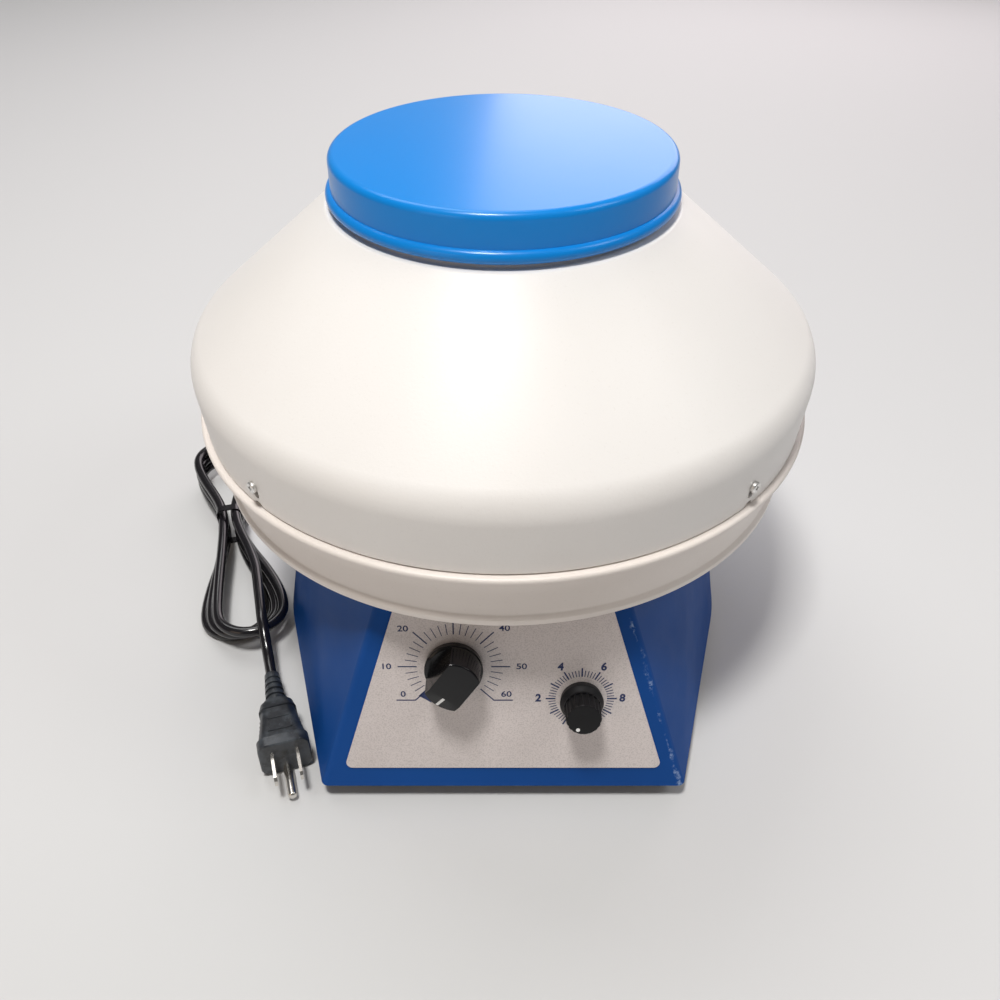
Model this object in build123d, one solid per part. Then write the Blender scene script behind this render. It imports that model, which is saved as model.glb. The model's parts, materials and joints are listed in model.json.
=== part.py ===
from build123d import *
import math
import os

# Clinical centrifuge, in millimetres. The origin is on the surface it stands on, on the rotor's axis.
# +Z is up, -Y is the front with the two controls, +X is the right-hand side seen from the front.

# Driving sizes of the case
cover_radius = 150.0          # skirt of the upper cover at its hem
cover_height = 35.0           # from the hem up to the shoulder's corner
shoulder_flare = 2.8          # how much further out the shoulder's corner lies than the hem
shoulder_round = 17.9
cone_rise = 62.0              # from the shoulder's corner up to the ledge round the mouth
hem_height = 155.0            # the hem above the floor
sheet = 1.2                   # steel sheet of cover, pan and lid
neck_radius = 75.3            # outside of the upright neck round the mouth
neck_height = 19.0
ledge_width = 5.7             # from the neck out to the cone's upper edge

# Lid
lid_side_gap = 0.6            # between the trim and the lid's wall
lid_corner = 3.2
lid_bead_radius = 3.05
lid_bead_proud = 2.4          # how far the bead stands out from the lid's wall
lid_bead_gap = 2.15           # under the bead, down to the ledge
seat_clearance = 0.3

# Rubber trim on the neck
trim_wall = 0.7
trim_roof = 2.5               # rubber over the neck's edge
trim_depth = 6.0

# Pan under the cover
rim_clearance = 1.4           # between the skirt and the pan's upright rim
pan_rim_rise = 21.0           # rim above the hem
pan_ledge_proud = 3.0         # how far the pan's folded ledge stands out from the hem
pan_ledge_height = 3.2
pan_ledge_round = 1.4
hem_clearance = 0.2
pan_wall_inset = 6.3          # from the hem in to the pan's wall
pan_lip_proud = 1.6
pan_depth = 34.5              # from the hem down to the underside of the pan
pan_dome_radius = 54.0
pan_dome_rise = 13.0
pan_hole_radius = 20.0

# Base housing
base_bottom = 10.0
base_radius_bottom = 127.0
base_radius_top = 108.5
base_wall = 2.0
base_corner_round = 4.0
flange_width = 15.0
panel_tilt = 16.0             # degrees that the front leans back from upright
panel_drop = 43.5             # from the housing's top down to the panel's reference line
panel_front = 128.7           # how far in front of the axis that line lies
label_half_width = 59.7       # at the reference line
label_spread = 0.323          # half-width gained per millimetre of height lost
label_margin = 8.2
label_thickness = 0.8
label_top_margin = 8.9        # from the label up to the housing's top
label_foot_margin = 11.2      # from the label down to the housing's bottom
label_corner = 3.0
vent_count = 9
vent_width = 3.0
vent_height = 34.0
vent_level = 52.0
vent_step = 5.5               # degrees between two slots

# Bottom plate, feet and screws
plate_thickness = 1.5
plate_inset = 3.0
plate_vent_count = 6
foot_radius = 10.0
foot_screw_radius = 2.0
front_foot_inset = (19.5, 23.9)
rear_foot_inset = 15.3
pan_screw_inset = 9.5
pan_screw_radius = 2.0
pan_screw_length = 6.0        # under the pan
screw_clearance = 0.1

# Screws that hold the cover on the pan
cover_screw_level = 11.3      # above the hem
cover_screw_radius = 1.6
cover_screw_head = 2.7
cover_screw_reach = 6.0       # behind the pan's rim
nut_plate_side = 14.0
nut_plate_thickness = 1.5
nut_plate_gap = 0.35
nut_plate_boss = 2.5          # height of the raised nut on each plate
slot_width = 4.0
slot_length = 8.6
notch_width = 5.6
notch_height = 1.8

# Motor
motor_radius = 42.0
motor_floor_gap = 11.0        # from the housing's bottom up to the motor's end cap
motor_boss_radius = 16.0
motor_boss_height = 9.0
end_cap_height = 9.0
motor_plate_radius = 82.0
motor_plate_thickness = 3.0
damper_radius = 9.0
damper_height = 13.5
damper_circle = 70.0
brush_radius = 7.0
brush_reach = 8.0
shaft_radius = 4.0
running_clearance = 0.05
shaft_depth = 44.0            # from the motor's top down to the shaft's end

# Angle head with its tube sleeves
sleeve_count = 6
sleeve_tilt = 40.0            # degrees from upright
sleeve_ring = 44.0            # where a sleeve's axis meets the head
sleeve_drop = 26.0            # from the ledge round the mouth down to the head
sleeve_bore = 8.6
sleeve_wall = 0.8
sleeve_length = 96.0          # from the head down to the start of the round bottom
collar_width = 1.9            # beyond the sleeve's outside
collar_height = 3.5
head_thickness = 3.0
head_slope_out = 16.0         # rim of the head beyond the sleeves' circle, along its slope
hub_radius = 15.0
hub_height = 20.0
hub_drop = 19.0               # from the head down to the hub's top
nut_radius = 8.0
nut_height = 12.0
cushion_height = 7.0

# Controls on the panel
timer_x = -23.0
timer_up = 0.0
speed_x = 37.0
speed_up = -17.7
bush_radius = 5.0
bush_reach = 3.6
nut_flats = 13.0
nut_thickness = 2.4
knob_gap = 0.6
knob_recess_gap = 0.7         # round the panel nut's corners
control_shaft_radius = 3.0
timer_knob_radius = 13.75
timer_knob_height = 18.0
timer_disc_height = 4.0
timer_bar_width = 16.5
timer_slope_start = 6.2       # from the knob's axis to where its pointing end slopes down
timer_slope = 24.0            # degrees
timer_line_length = 6.6
timer_line_width = 1.3
timer_rest_angle = 234.0      # degrees from +X, seen from the front: just short of the zero mark
speed_knob_radius = 10.4
speed_knob_height = 16.6
speed_grip_radius = 8.2
speed_rest_angle = 244.0
timer_box = (52.0, 46.0, 26.0)
speed_body_radius = 15.0
speed_body_depth = 18.0

# Mains cord
cord_radius = 3.1
cord_floor = cord_radius + 0.05
relief_angle = 15.0           # degrees from the back towards the left
relief_level = 25.0
relief_length = 30.0
relief_wall = 3.9
relief_flange_width = 2.0
hank_centre = (-176.5, 48.0)
hank_lean = 14.0              # degrees that the hank's far end leans to the left
hank_loops = 3
hank_bend = 19.0              # radius of the bends at both ends
hank_shift = 4.5              # how much nearer to the machine each loop's near bend lies
hank_far = 60.0               # from the tie to the far bends' centre
hank_near = 72.0              # from the tie to the lowest near bend's centre
hank_near_step = 6.0
tail_start = (-62.0, 14.5)    # where the last strand leaves the hank
tail_turn = (-106.0, 15.6)    # where it goes down to the plug
tail_run = 14.2               # level stretch before the plug
tail_lift = 0.4               # clears the strand below
strand_gap = 1.2              # between neighbouring strands
layer_gap = 0.45
tie_thickness = 0.8
tie_width = 5.0
tie_clearance = 0.15

# Plug
plug_direction = 287.5        # degrees from +X
plug_floor_gap = 0.6
plug_relief_length = 22.0
plug_length = 34.0
plug_half_width = 13.0
plug_half_height = 11.6
blade_spacing = 12.7
blade_width = 6.35
blade_thickness = 1.5
blade_length = 16.5
blade_hole_radius = 1.6
ground_offset = 11.9
ground_radius = 2.4
ground_length = 19.0

# Heights and radii that follow from the sizes above
shoulder_level = hem_height + cover_height
ledge_level = shoulder_level + cone_rise
neck_top = ledge_level + neck_height
ledge_radius = neck_radius + ledge_width
trim_top = neck_top + trim_roof
lid_radius = neck_radius + trim_wall + lid_side_gap + sheet
lid_under = trim_top + seat_clearance
lid_top = lid_under + sheet
lid_bead_level = ledge_level + lid_bead_gap + lid_bead_radius
pan_rim = cover_radius - sheet - rim_clearance
pan_ledge_reach = cover_radius + pan_ledge_proud
pan_wall_radius = cover_radius - pan_wall_inset
pan_lip_radius = pan_wall_radius + pan_lip_proud
pan_under = hem_height - pan_depth
pan_floor = pan_under + sheet
base_top = pan_under
base_height = base_top - base_bottom
tilt_sin = math.sin(math.radians(panel_tilt))
tilt_cos = math.cos(math.radians(panel_tilt))
front_wall = base_wall * tilt_cos
panel_level = base_top - panel_drop
label_up = (panel_drop - label_top_margin) / tilt_cos
label_down = (panel_level - base_bottom - label_foot_margin) / tilt_cos
pan_screw_circle = base_radius_top - pan_screw_inset
motor_top = pan_under - damper_height - motor_plate_thickness
motor_height = motor_top - end_cap_height - base_bottom - motor_floor_gap
shaft_bottom = motor_top - shaft_depth
sleeve_level = ledge_level - sleeve_drop
collar_radius = sleeve_bore + sleeve_wall + collar_width
hub_top = sleeve_level - hub_drop
knob_recess_radius = nut_flats / 2 / math.cos(math.radians(30)) + knob_recess_gap
relief_radius = cord_radius + relief_wall
relief_flange_radius = relief_radius + relief_flange_width
hank_step = 2 * cord_radius + strand_gap
hank_layer = 2 * cord_radius + layer_gap
hank_top = cord_floor + hank_layer * hank_loops
tail_level = hank_top + tail_lift
plug_height = plug_half_height + plug_floor_gap
corner_angles = (45.0, 135.0, 225.0, 315.0)
damper_angles = (90.0, 210.0, 330.0)


def along(angle, distance):
    """X and Y of a point at a distance from the axis; the angle is from +X."""
    return (distance * math.cos(math.radians(angle)), distance * math.sin(math.radians(angle)))


def turned(points):
    """A solid of revolution from corners given as radius, height and rounding."""
    outline = FilletPolyline([(r, z) for r, z, _ in points], radius=[f for _, _, f in points], close=True)
    return revolve(Plane.XZ * make_face(outline.edges()), Axis.Z)


def turned_sheet(points, thickness):
    """A spun sheet: the outer line's corners with their roundings, thickened to its right-hand side."""
    corners = [(r, z) for r, z, _ in points]
    line = FilletPolyline(corners, radius=[f for _, _, f in points[1:-1]])
    section = Wire(line.edges()).offset_2d(thickness, side=Side.RIGHT, closed=True)
    return revolve(Plane.XZ * make_face(section.edges()), Axis.Z)


def rod(radius, low, high, x=0.0, y=0.0):
    """An upright cylinder between two heights."""
    return Pos(x, y, (low + high) / 2) * Cylinder(radius, high - low)


def around(solid, angles):
    """Copies of a solid turned about the axis."""
    return [Rot(0, 0, angle) * solid for angle in angles]


def one(shape):
    """The single solid of a result."""
    return shape.solids()[0]


# Upper cover

def cover_radius_at(height):
    """Outer radius of the skirt at a height."""
    return cover_radius + shoulder_flare * (height - hem_height) / cover_height


def upper_cover():
    shell = turned_sheet([
        (neck_radius, neck_top, 0),
        (neck_radius, ledge_level, 1.5),
        (ledge_radius, ledge_level, 2.5),
        (cover_radius + shoulder_flare, shoulder_level, shoulder_round),
        (cover_radius, hem_height, 0),
    ], sheet)
    slot_middle = hem_height + cover_screw_level + cover_screw_radius - slot_length / 2 + 0.4
    slot = Pos(cover_radius, 0, slot_middle) * Rot(0, 90, 0) * extrude(
        SlotOverall(slot_length, slot_width), 6, both=True)
    notch = Pos(cover_radius, 0, hem_height) * Rot(0, 90, 0) * extrude(
        Ellipse(notch_height, notch_width / 2), 6, both=True)
    return one(shell - around(slot, corner_angles) - around(notch, corner_angles))


def mouth_trim():
    inner = neck_radius - sheet - trim_wall
    outer = neck_radius + trim_wall
    bottom = trim_top - trim_depth
    body = turned([
        (inner, bottom, 0.4),
        (outer, bottom, 0.4),
        (outer, trim_top, 1.2),
        (inner, trim_top, 1.2),
    ])
    channel = turned([
        (neck_radius - sheet, bottom - 1, 0),
        (neck_radius, bottom - 1, 0),
        (neck_radius, neck_top, 0),
        (neck_radius - sheet, neck_top, 0),
    ])
    return one(body - channel)


def lid():
    shell = turned_sheet([
        (0, lid_top, 0),
        (lid_radius, lid_top, lid_corner),
        (lid_radius, lid_bead_level, 0),
    ], sheet)
    middle = lid_radius + lid_bead_proud - lid_bead_radius
    bead = Plane.XZ * Pos(middle, lid_bead_level) * Circle(lid_bead_radius)
    room = rod(lid_radius - sheet, ledge_level, lid_bead_level + lid_bead_radius + 1)
    return one(shell + (revolve(bead, Axis.Z) - room))


# Lower pan and what holds the cover on it

def lower_pan():
    ledge_top = hem_height - hem_clearance
    ledge_under = ledge_top - pan_ledge_height
    return one(turned_sheet([
        (pan_rim, hem_height + pan_rim_rise, 0),
        (pan_rim, ledge_top, 1.3),
        (pan_ledge_reach, ledge_top, pan_ledge_round),
        (pan_ledge_reach, ledge_under, pan_ledge_round),
        (pan_rim - 1.2, ledge_under, 1.6),
        (pan_wall_radius + 0.6, pan_under + 19, 12),
        (pan_wall_radius, pan_under + 5.4, 1.6),
        (pan_lip_radius, pan_under + 3.2, 1.3),
        (pan_lip_radius, pan_under, 1.3),
        (pan_dome_radius, pan_under, 6),
        (pan_dome_radius - 8, pan_under + pan_dome_rise, 6),
        (pan_hole_radius + 2, pan_under + pan_dome_rise, 1.6),
        (pan_hole_radius + 2, pan_under + pan_dome_rise + 5, 0),
    ], sheet) - [
        rod(pan_screw_radius + screw_clearance, pan_under - 2, pan_floor + 2, *along(a, pan_screw_circle))
        for a in corner_angles
    ] - cover_bolt_holes())


def radial_rod(radius, inner, outer, height):
    """A cylinder along +X between two distances from the axis."""
    return Pos((inner + outer) / 2, 0, height) * Rot(0, 90, 0) * Cylinder(radius, outer - inner)


def cover_bolt_holes():
    height = hem_height + cover_screw_level
    hole = radial_rod(cover_screw_radius + screw_clearance, pan_rim - 4, pan_rim + 4, height)
    return around(hole, corner_angles)


def cover_screws():
    """Four pan-head screws through the skirt's slots into the nut plates on the pan's rim."""
    height = hem_height + cover_screw_level
    seat = cover_radius_at(height + cover_screw_head) + 0.05
    shank = radial_rod(cover_screw_radius, pan_rim - cover_screw_reach, seat, height)
    profile = [(0, 0, 0), (cover_screw_head, 0, 0), (cover_screw_head, 1.7, 0.9), (0, 1.7, 0)]
    cross = Box(2.6, 0.7, 1.6) + Box(0.7, 2.6, 1.6)
    head = turned(profile) - Pos(0, 0, 1.7) * cross
    screw = shank + Pos(seat, 0, height) * Rot(0, 90, 0) * head
    return around(screw, corner_angles)


def cover_nuts():
    """Plates behind the pan's rim, each with a raised threaded nut."""
    height = hem_height + cover_screw_level
    face = pan_rim - sheet - nut_plate_gap
    back = face - nut_plate_thickness
    plate = Pos((face + back) / 2, 0, height) * Box(nut_plate_thickness, nut_plate_side, nut_plate_side)
    nut = Pos(back - nut_plate_boss / 2, 0, height) * Rot(0, 90, 0) * extrude(
        RegularPolygon(nut_plate_side / 4, 6, major_radius=False), nut_plate_boss / 2, both=True)
    hole = radial_rod(cover_screw_radius + screw_clearance / 2, back - 2 * nut_plate_boss, face + 1, height)
    return around(plate + nut - hole, corner_angles)


def pan_screws():
    screw = rod(pan_screw_radius, base_top - pan_screw_length, pan_floor, pan_screw_circle)
    head = Pos(pan_screw_circle, 0, pan_floor) * turned(
        [(0, 0, 0), (3.6, 0, 0), (3.6, 2.4, 1.2), (0, 2.4, 0)])
    return around(screw + head, corner_angles)


# Base housing

def panel_reach(height):
    """How far the sloping front lies in front of the axis at a height."""
    return panel_front + (panel_level - height) * tilt_sin / tilt_cos


def front_half_width(height):
    return label_half_width + label_margin + (panel_level - height) * label_spread


def base_outline(height, inset):
    """The round back with side walls that run tangent from it to the flat front's corners."""
    share = (height - base_bottom) / base_height
    radius = base_radius_bottom + share * (base_radius_top - base_radius_bottom)
    half = front_half_width(height)
    reach = panel_reach(height)
    turn = math.atan2(half, reach) + math.acos(radius / math.hypot(half, reach))
    side = (radius * math.sin(turn), -radius * math.cos(turn))
    lines = [
        Line((-half, -reach), (half, -reach)),
        Line((half, -reach), side),
        ThreePointArc(side, (0, radius), (-side[0], side[1])),
        Line((-side[0], side[1]), (-half, -reach)),
    ]
    face = make_face(lines)
    corners = face.vertices().sort_by(Axis.Y)[0:2]
    face = fillet(corners, base_corner_round)
    if inset:
        face = offset(face, -inset)
    return Pos(0, 0, height) * face


def tapered(low, high, inset):
    return loft([base_outline(low, inset), base_outline(high, inset)], ruled=True)


def panel_place(x, up, out=0.0):
    """A place on the panel: x to the right, up along the slope, out of its face."""
    y = -panel_front + up * tilt_sin - out * tilt_cos
    z = panel_level + up * tilt_cos + out * tilt_sin
    return Plane(origin=(x, y, z), x_dir=(1, 0, 0), z_dir=(0, -tilt_cos, tilt_sin)).location


def on_panel(radius, x, up, low, high):
    """A cylinder square to the panel."""
    return panel_place(x, up, (low + high) / 2) * Cylinder(radius, high - low)


def bush_holes():
    size = bush_radius + screw_clearance
    return [on_panel(size, timer_x, timer_up, -6, 6), on_panel(size, speed_x, speed_up, -6, 6)]


def base_housing():
    shell = tapered(base_bottom, base_top, 0) - tapered(base_bottom, base_top, base_wall)
    top_flange = extrude(base_outline(base_top, base_wall / 2), base_wall, dir=(0, 0, 1))
    top_flange = Pos(0, 0, -base_wall) * top_flange
    top_flange = top_flange - rod(base_radius_top - flange_width, base_top - 9, base_top + 9)
    bottom_flange = extrude(base_outline(base_bottom, base_wall / 2), base_wall, dir=(0, 0, 1))
    bottom_flange = bottom_flange - extrude(base_outline(base_bottom, flange_width + 5), 9, dir=(0, 0, 1))
    body = shell + top_flange + bottom_flange
    body = body - bush_holes()
    body = body - relief_hole()
    for angle in corner_angles:
        body = body - rod(pan_screw_radius + screw_clearance, base_top - 9, base_top + 9,
                          *along(angle, pan_screw_circle))
    for x, y in foot_places():
        body = body - rod(foot_screw_radius + screw_clearance, 0, base_bottom + 9, x, y)
    vent = extrude(SlotOverall(vent_height, vent_width), 30, both=True)
    vent = Pos(base_radius_bottom, 0, vent_level) * Rot(0, 90, 0) * vent
    first = 90 - vent_step * (vent_count - 1) / 2
    return one(body - around(vent, [first + vent_step * n for n in range(vent_count)]))


def foot_places():
    """Centres of the four feet: two behind the front's corners, two under the round back."""
    side = front_half_width(base_bottom) - front_foot_inset[0]
    front = front_foot_inset[1] - panel_reach(base_bottom)
    rear = base_radius_bottom - rear_foot_inset
    return [(-side, front), (side, front), along(45, rear), along(135, rear)]


def bottom_plate():
    low = base_bottom - plate_thickness
    plate = Pos(0, 0, -plate_thickness) * extrude(base_outline(base_bottom, plate_inset), plate_thickness,
                                                  dir=(0, 0, 1))
    for x, y in foot_places():
        plate = plate - rod(foot_screw_radius + screw_clearance, 0, base_bottom + 9, x, y)
    vent = Pos(44, 0, low) * extrude(SlotOverall(30, 5), 9, both=True)
    turns = [360 / plate_vent_count * n for n in range(plate_vent_count)]
    return one(plate - around(vent, turns))


def rubber_feet():
    top = base_bottom - plate_thickness
    foot = turned([
        (foot_screw_radius + screw_clearance, 3.4, 0),
        (5.0, 3.4, 0),
        (5.0, 0, 0),
        (foot_radius - 1.2, 0, 0.8),
        (foot_radius, top, 0.6),
        (foot_screw_radius + screw_clearance, top, 0),
    ])
    return [Pos(x, y, 0) * foot for x, y in foot_places()]


def foot_screws():
    head = turned([(0, 1.2, 0), (3.8, 1.2, 0), (3.8, 3.4, 0.6), (0, 3.4, 0)])
    screw = head + rod(foot_screw_radius, 3.0, base_bottom + base_wall + 3)
    return [Pos(x, y, 0) * screw for x, y in foot_places()]


def control_panel():
    def half(up):
        return label_half_width - up * tilt_cos * label_spread
    sketch = make_face(Polyline(
        (-half(label_up), label_up),
        (half(label_up), label_up),
        (half(-label_down), -label_down),
        (-half(-label_down), -label_down),
        close=True,
    ).edges())
    sketch = fillet(sketch.vertices(), label_corner)
    plate = panel_place(0, 0) * extrude(sketch, label_thickness, dir=(0, 0, 1))
    return one(plate - bush_holes())


# Motor under the pan

def motor_plate():
    bottom = motor_top
    top = bottom + motor_plate_thickness
    plate = rod(motor_plate_radius, bottom, top)
    plate = plate - rod(motor_boss_radius + screw_clearance, bottom - 1, top + 1)
    return one(plate - [rod(3, bottom - 1, top + 1, *along(a, damper_circle)) for a in damper_angles])


def motor_dampers():
    """Rubber mounts with a waist, and a stud that goes down through the plate."""
    low = motor_top + motor_plate_thickness
    high = pan_under
    waist = (low + high) / 2
    damper = turned([
        (0, low, 0),
        (damper_radius, low, 0.8),
        (damper_radius, low + 3, 0.8),
        (damper_radius - 2, waist, 3),
        (damper_radius, high - 3, 0.8),
        (damper_radius, high, 0.8),
        (0, high, 0),
    ])
    damper = damper + rod(2.9, motor_top - 6, low + 0.5)
    return [Pos(*along(angle, damper_circle), 0) * damper for angle in damper_angles]


def motor_bore():
    return rod(shaft_radius + running_clearance, shaft_bottom - 2, motor_top + 60)


def motor_body():
    """The motor's can with cooling slots, a screwed top and the bearing boss."""
    low = motor_top - motor_height
    can = turned([
        (0, low, 0),
        (motor_radius, low, 0),
        (motor_radius, motor_top - 6, 0),
        (motor_radius - 5, motor_top, 3),
        (motor_boss_radius, motor_top, 0),
        (motor_boss_radius, motor_top + motor_boss_height, 2),
        (0, motor_top + motor_boss_height, 0),
    ])
    slot = Pos(motor_radius, 0, low + motor_height * 0.6) * Box(5, 6, 22)
    return one(can - motor_bore() - around(slot, [15 + 30 * n for n in range(12)]))


def motor_end_cap():
    top = motor_top - motor_height
    low = top - end_cap_height
    return one(turned([
        (0, low, 0),
        (26, low, 3),
        (motor_radius + 1.5, top - 4, 2),
        (motor_radius + 1.5, top, 0),
        (0, top, 0),
    ]))


def brush_caps():
    height = motor_top - motor_height + 12
    cap = radial_rod(brush_radius, motor_radius + 0.3, motor_radius + brush_reach, height)
    slot = Pos(motor_radius + brush_reach, 0, height) * Box(2, 9, 1.4)
    return around(cap - slot, (0, 180))


# Rotor

def motor_shaft():
    """Runs in the motor's bore, with a shoulder under the hub and a thread under the nut."""
    shoulder = hub_top - hub_height
    return one(turned([
        (0, shaft_bottom, 0),
        (shaft_radius, shaft_bottom, 0),
        (shaft_radius, shoulder - 8, 0),
        (shaft_radius + 3, shoulder - 8, 0.5),
        (shaft_radius + 3, shoulder, 0),
        (shaft_radius, shoulder, 0),
        (shaft_radius, hub_top + nut_height - 3, 0.6),
        (0, hub_top + nut_height - 3, 0),
    ]))


def sleeve_place(angle):
    """Origin where the sleeve's axis meets the head's upper face, local +Z out of the mouth."""
    lean = math.radians(sleeve_tilt)
    x, y = along(angle, sleeve_ring)
    inward = along(angle, -math.sin(lean))
    turn = math.radians(angle)
    return Plane(origin=(x, y, sleeve_level), x_dir=(-math.sin(turn), math.cos(turn), 0),
                 z_dir=(inward[0], inward[1], math.cos(lean))).location


def sleeve_angles():
    return [360 / sleeve_count * n for n in range(sleeve_count)]


def rotor_head():
    """A dish square to the sleeves, holed for each of them, on a hub that fits the shaft."""
    lean = math.radians(sleeve_tilt)
    rim_r = sleeve_ring + head_slope_out * math.cos(lean)
    rim_z = sleeve_level + head_slope_out * math.sin(lean)
    foot_z = sleeve_level - (sleeve_ring - hub_radius) * math.tan(lean)
    drop = head_thickness / math.cos(lean)
    dish = turned([
        (shaft_radius, foot_z, 0),
        (hub_radius, foot_z, 2),
        (rim_r, rim_z, 1.2),
        (rim_r + 2, rim_z - drop * 0.6, 1.0),
        (hub_radius, foot_z - drop - 2, 4),
        (hub_radius, hub_top - hub_height, 1),
        (shaft_radius, hub_top - hub_height, 0),
    ])
    hub = turned([
        (shaft_radius, foot_z - 1, 0),
        (hub_radius - 2, foot_z - 1, 0),
        (hub_radius - 2, hub_top, 1.2),
        (shaft_radius, hub_top, 0),
    ])
    hole = Cylinder(sleeve_bore + sleeve_wall + screw_clearance, 30)
    seat = Pos(0, 0, 10) * Cylinder(collar_radius + 0.4, 20)
    return one(dish + hub - [sleeve_place(angle) * (hole + seat) for angle in sleeve_angles()])


def tube_sleeves():
    """Metal tube shields with a collar that hangs on the head and a round bottom."""
    outer = sleeve_bore + sleeve_wall
    line = [
        Line((collar_radius, 0), (collar_radius, collar_height)),
        Line((collar_radius, collar_height), (sleeve_bore, collar_height)),
        Line((sleeve_bore, collar_height), (sleeve_bore, -sleeve_length)),
        RadiusArc((sleeve_bore, -sleeve_length), (0, -sleeve_length - sleeve_bore), sleeve_bore),
        Line((0, -sleeve_length - sleeve_bore), (0, -sleeve_length - outer)),
        RadiusArc((0, -sleeve_length - outer), (outer, -sleeve_length), -outer),
        Line((outer, -sleeve_length), (outer, 0)),
        Line((outer, 0), (collar_radius, 0)),
    ]
    sleeve = revolve(Plane.XZ * make_face(line), Axis.Z)
    return [sleeve_place(angle) * sleeve for angle in sleeve_angles()]


def sleeve_cushions():
    """Rubber pads in the sleeves' round bottoms."""
    size = sleeve_bore - 0.3
    line = [
        Line((0, -sleeve_length - size), (0, -sleeve_length + cushion_height)),
        Line((0, -sleeve_length + cushion_height), (size, -sleeve_length + cushion_height)),
        Line((size, -sleeve_length + cushion_height), (size, -sleeve_length)),
        RadiusArc((size, -sleeve_length), (0, -sleeve_length - size), size),
    ]
    pad = revolve(Plane.XZ * make_face(line), Axis.Z)
    dimple = Pos(0, 0, -sleeve_length + cushion_height + 1.5) * Sphere(5)
    return [sleeve_place(angle) * (pad - dimple) for angle in sleeve_angles()]


def rotor_nut():
    """A domed hexagon nut with the shaft's end inside it."""
    body = Pos(0, 0, hub_top) * extrude(RegularPolygon(nut_radius, 6), nut_height, dir=(0, 0, 1))
    dome = turned([(0, hub_top - 1, 0), (nut_radius + 1, hub_top - 1, 0), (nut_radius + 1, hub_top + 6, 6),
                   (0, hub_top + nut_height, 0)])
    return one(body & dome - rod(shaft_radius, hub_top - 2, hub_top + nut_height - 3))


# Controls

def bushing(x, up):
    """The threaded bush of a control, through the housing's front and the panel, bored for its shaft."""
    return on_panel(bush_radius, x, up, -front_wall, label_thickness + bush_reach)


def shaft_bore(x, up, depth):
    return on_panel(control_shaft_radius + running_clearance, x, up, -depth, label_thickness + bush_reach + 2)


def timer_mechanism():
    """Clockwork in a steel case behind the panel, with a bell plate on its back."""
    width, height, depth = timer_box
    box = Box(width, height, depth)
    box = fillet(box.edges().filter_by(Axis.Z), 3)
    case = panel_place(timer_x, timer_up, -front_wall - depth / 2) * box
    bell = on_panel(17, timer_x, timer_up, -front_wall - depth - 6, -front_wall - depth)
    return one(case + bell + bushing(timer_x, timer_up) - shaft_bore(timer_x, timer_up, 14))


def speed_control():
    """A rotary speed control with three solder tags."""
    body = on_panel(speed_body_radius, speed_x, speed_up, -front_wall - speed_body_depth, -front_wall)
    for offset_x in (-7, 0, 7):
        body = body + panel_place(speed_x + offset_x, speed_up - speed_body_radius - 3,
                                  -front_wall - speed_body_depth + 4) * Box(3, 9, 0.8)
    return one(body + bushing(speed_x, speed_up) - shaft_bore(speed_x, speed_up, 12))


def control_nuts():
    nut = extrude(RegularPolygon(nut_flats / 2, 6, major_radius=False), nut_thickness, dir=(0, 0, 1))
    nut = nut - Cylinder(bush_radius, 20)
    return [panel_place(x, up, label_thickness) * nut for x, up in ((timer_x, timer_up), (speed_x, speed_up))]


def knob_foot():
    return label_thickness + knob_gap


def knob_shaft(x, up, depth, height):
    return one(on_panel(control_shaft_radius, x, up, -depth, knob_foot() + height))


def knob_recess(height):
    """The room under a knob for the panel nut, and the blind hole for its shaft."""
    room = bush_reach + 1.0
    nut_room = Pos(0, 0, room / 2) * Cylinder(knob_recess_radius, room + 0.001)
    return nut_room + Pos(0, 0, height / 2) * Cylinder(control_shaft_radius, height)


def timer_shape():
    """A round foot with a broad bar across it; the bar's pointing end slopes down."""
    foot = turned([
        (0, 0, 0),
        (timer_knob_radius - 0.3, 0, 0),
        (timer_knob_radius, timer_disc_height - 0.5, 0.6),
        (timer_knob_radius - 1.4, timer_disc_height, 0.6),
        (0, timer_disc_height, 0),
    ])
    drum = turned([
        (0, 0, 0),
        (timer_knob_radius - 0.3, 0, 0),
        (timer_knob_radius - 0.9, timer_knob_height, 0.8),
        (0, timer_knob_height, 0),
    ])
    bar = drum & Pos(0, 0, timer_knob_height / 2) * Box(2 * timer_knob_radius + 4, timer_bar_width,
                                                        timer_knob_height)
    return foot + (bar - on_slope(0, 30, 0, 10, 40))


def on_slope(start, end, low, high, width):
    """A block on the knob's sloping end: lengths run down the slope, heights square to it."""
    block = Pos((start + end) / 2, 0, (low + high) / 2) * Box(end - start, width, high - low)
    return Pos(timer_slope_start, 0, timer_knob_height) * Rot(0, timer_slope, 0) * block


def timer_knob():
    shape = Rot(0, 0, timer_rest_angle) * (timer_shape() - knob_recess(timer_knob_height - 5) - pointer_bar())
    return one(panel_place(timer_x, timer_up, knob_foot()) * shape)


def pointer_bar():
    """The pale line let into the bar's sloping end."""
    return on_slope(0.4, 0.4 + timer_line_length, -1.2, 0.08, timer_line_width)


def timer_pointer():
    return one(panel_place(timer_x, timer_up, knob_foot()) * (Rot(0, 0, timer_rest_angle) * pointer_bar()))


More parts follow.
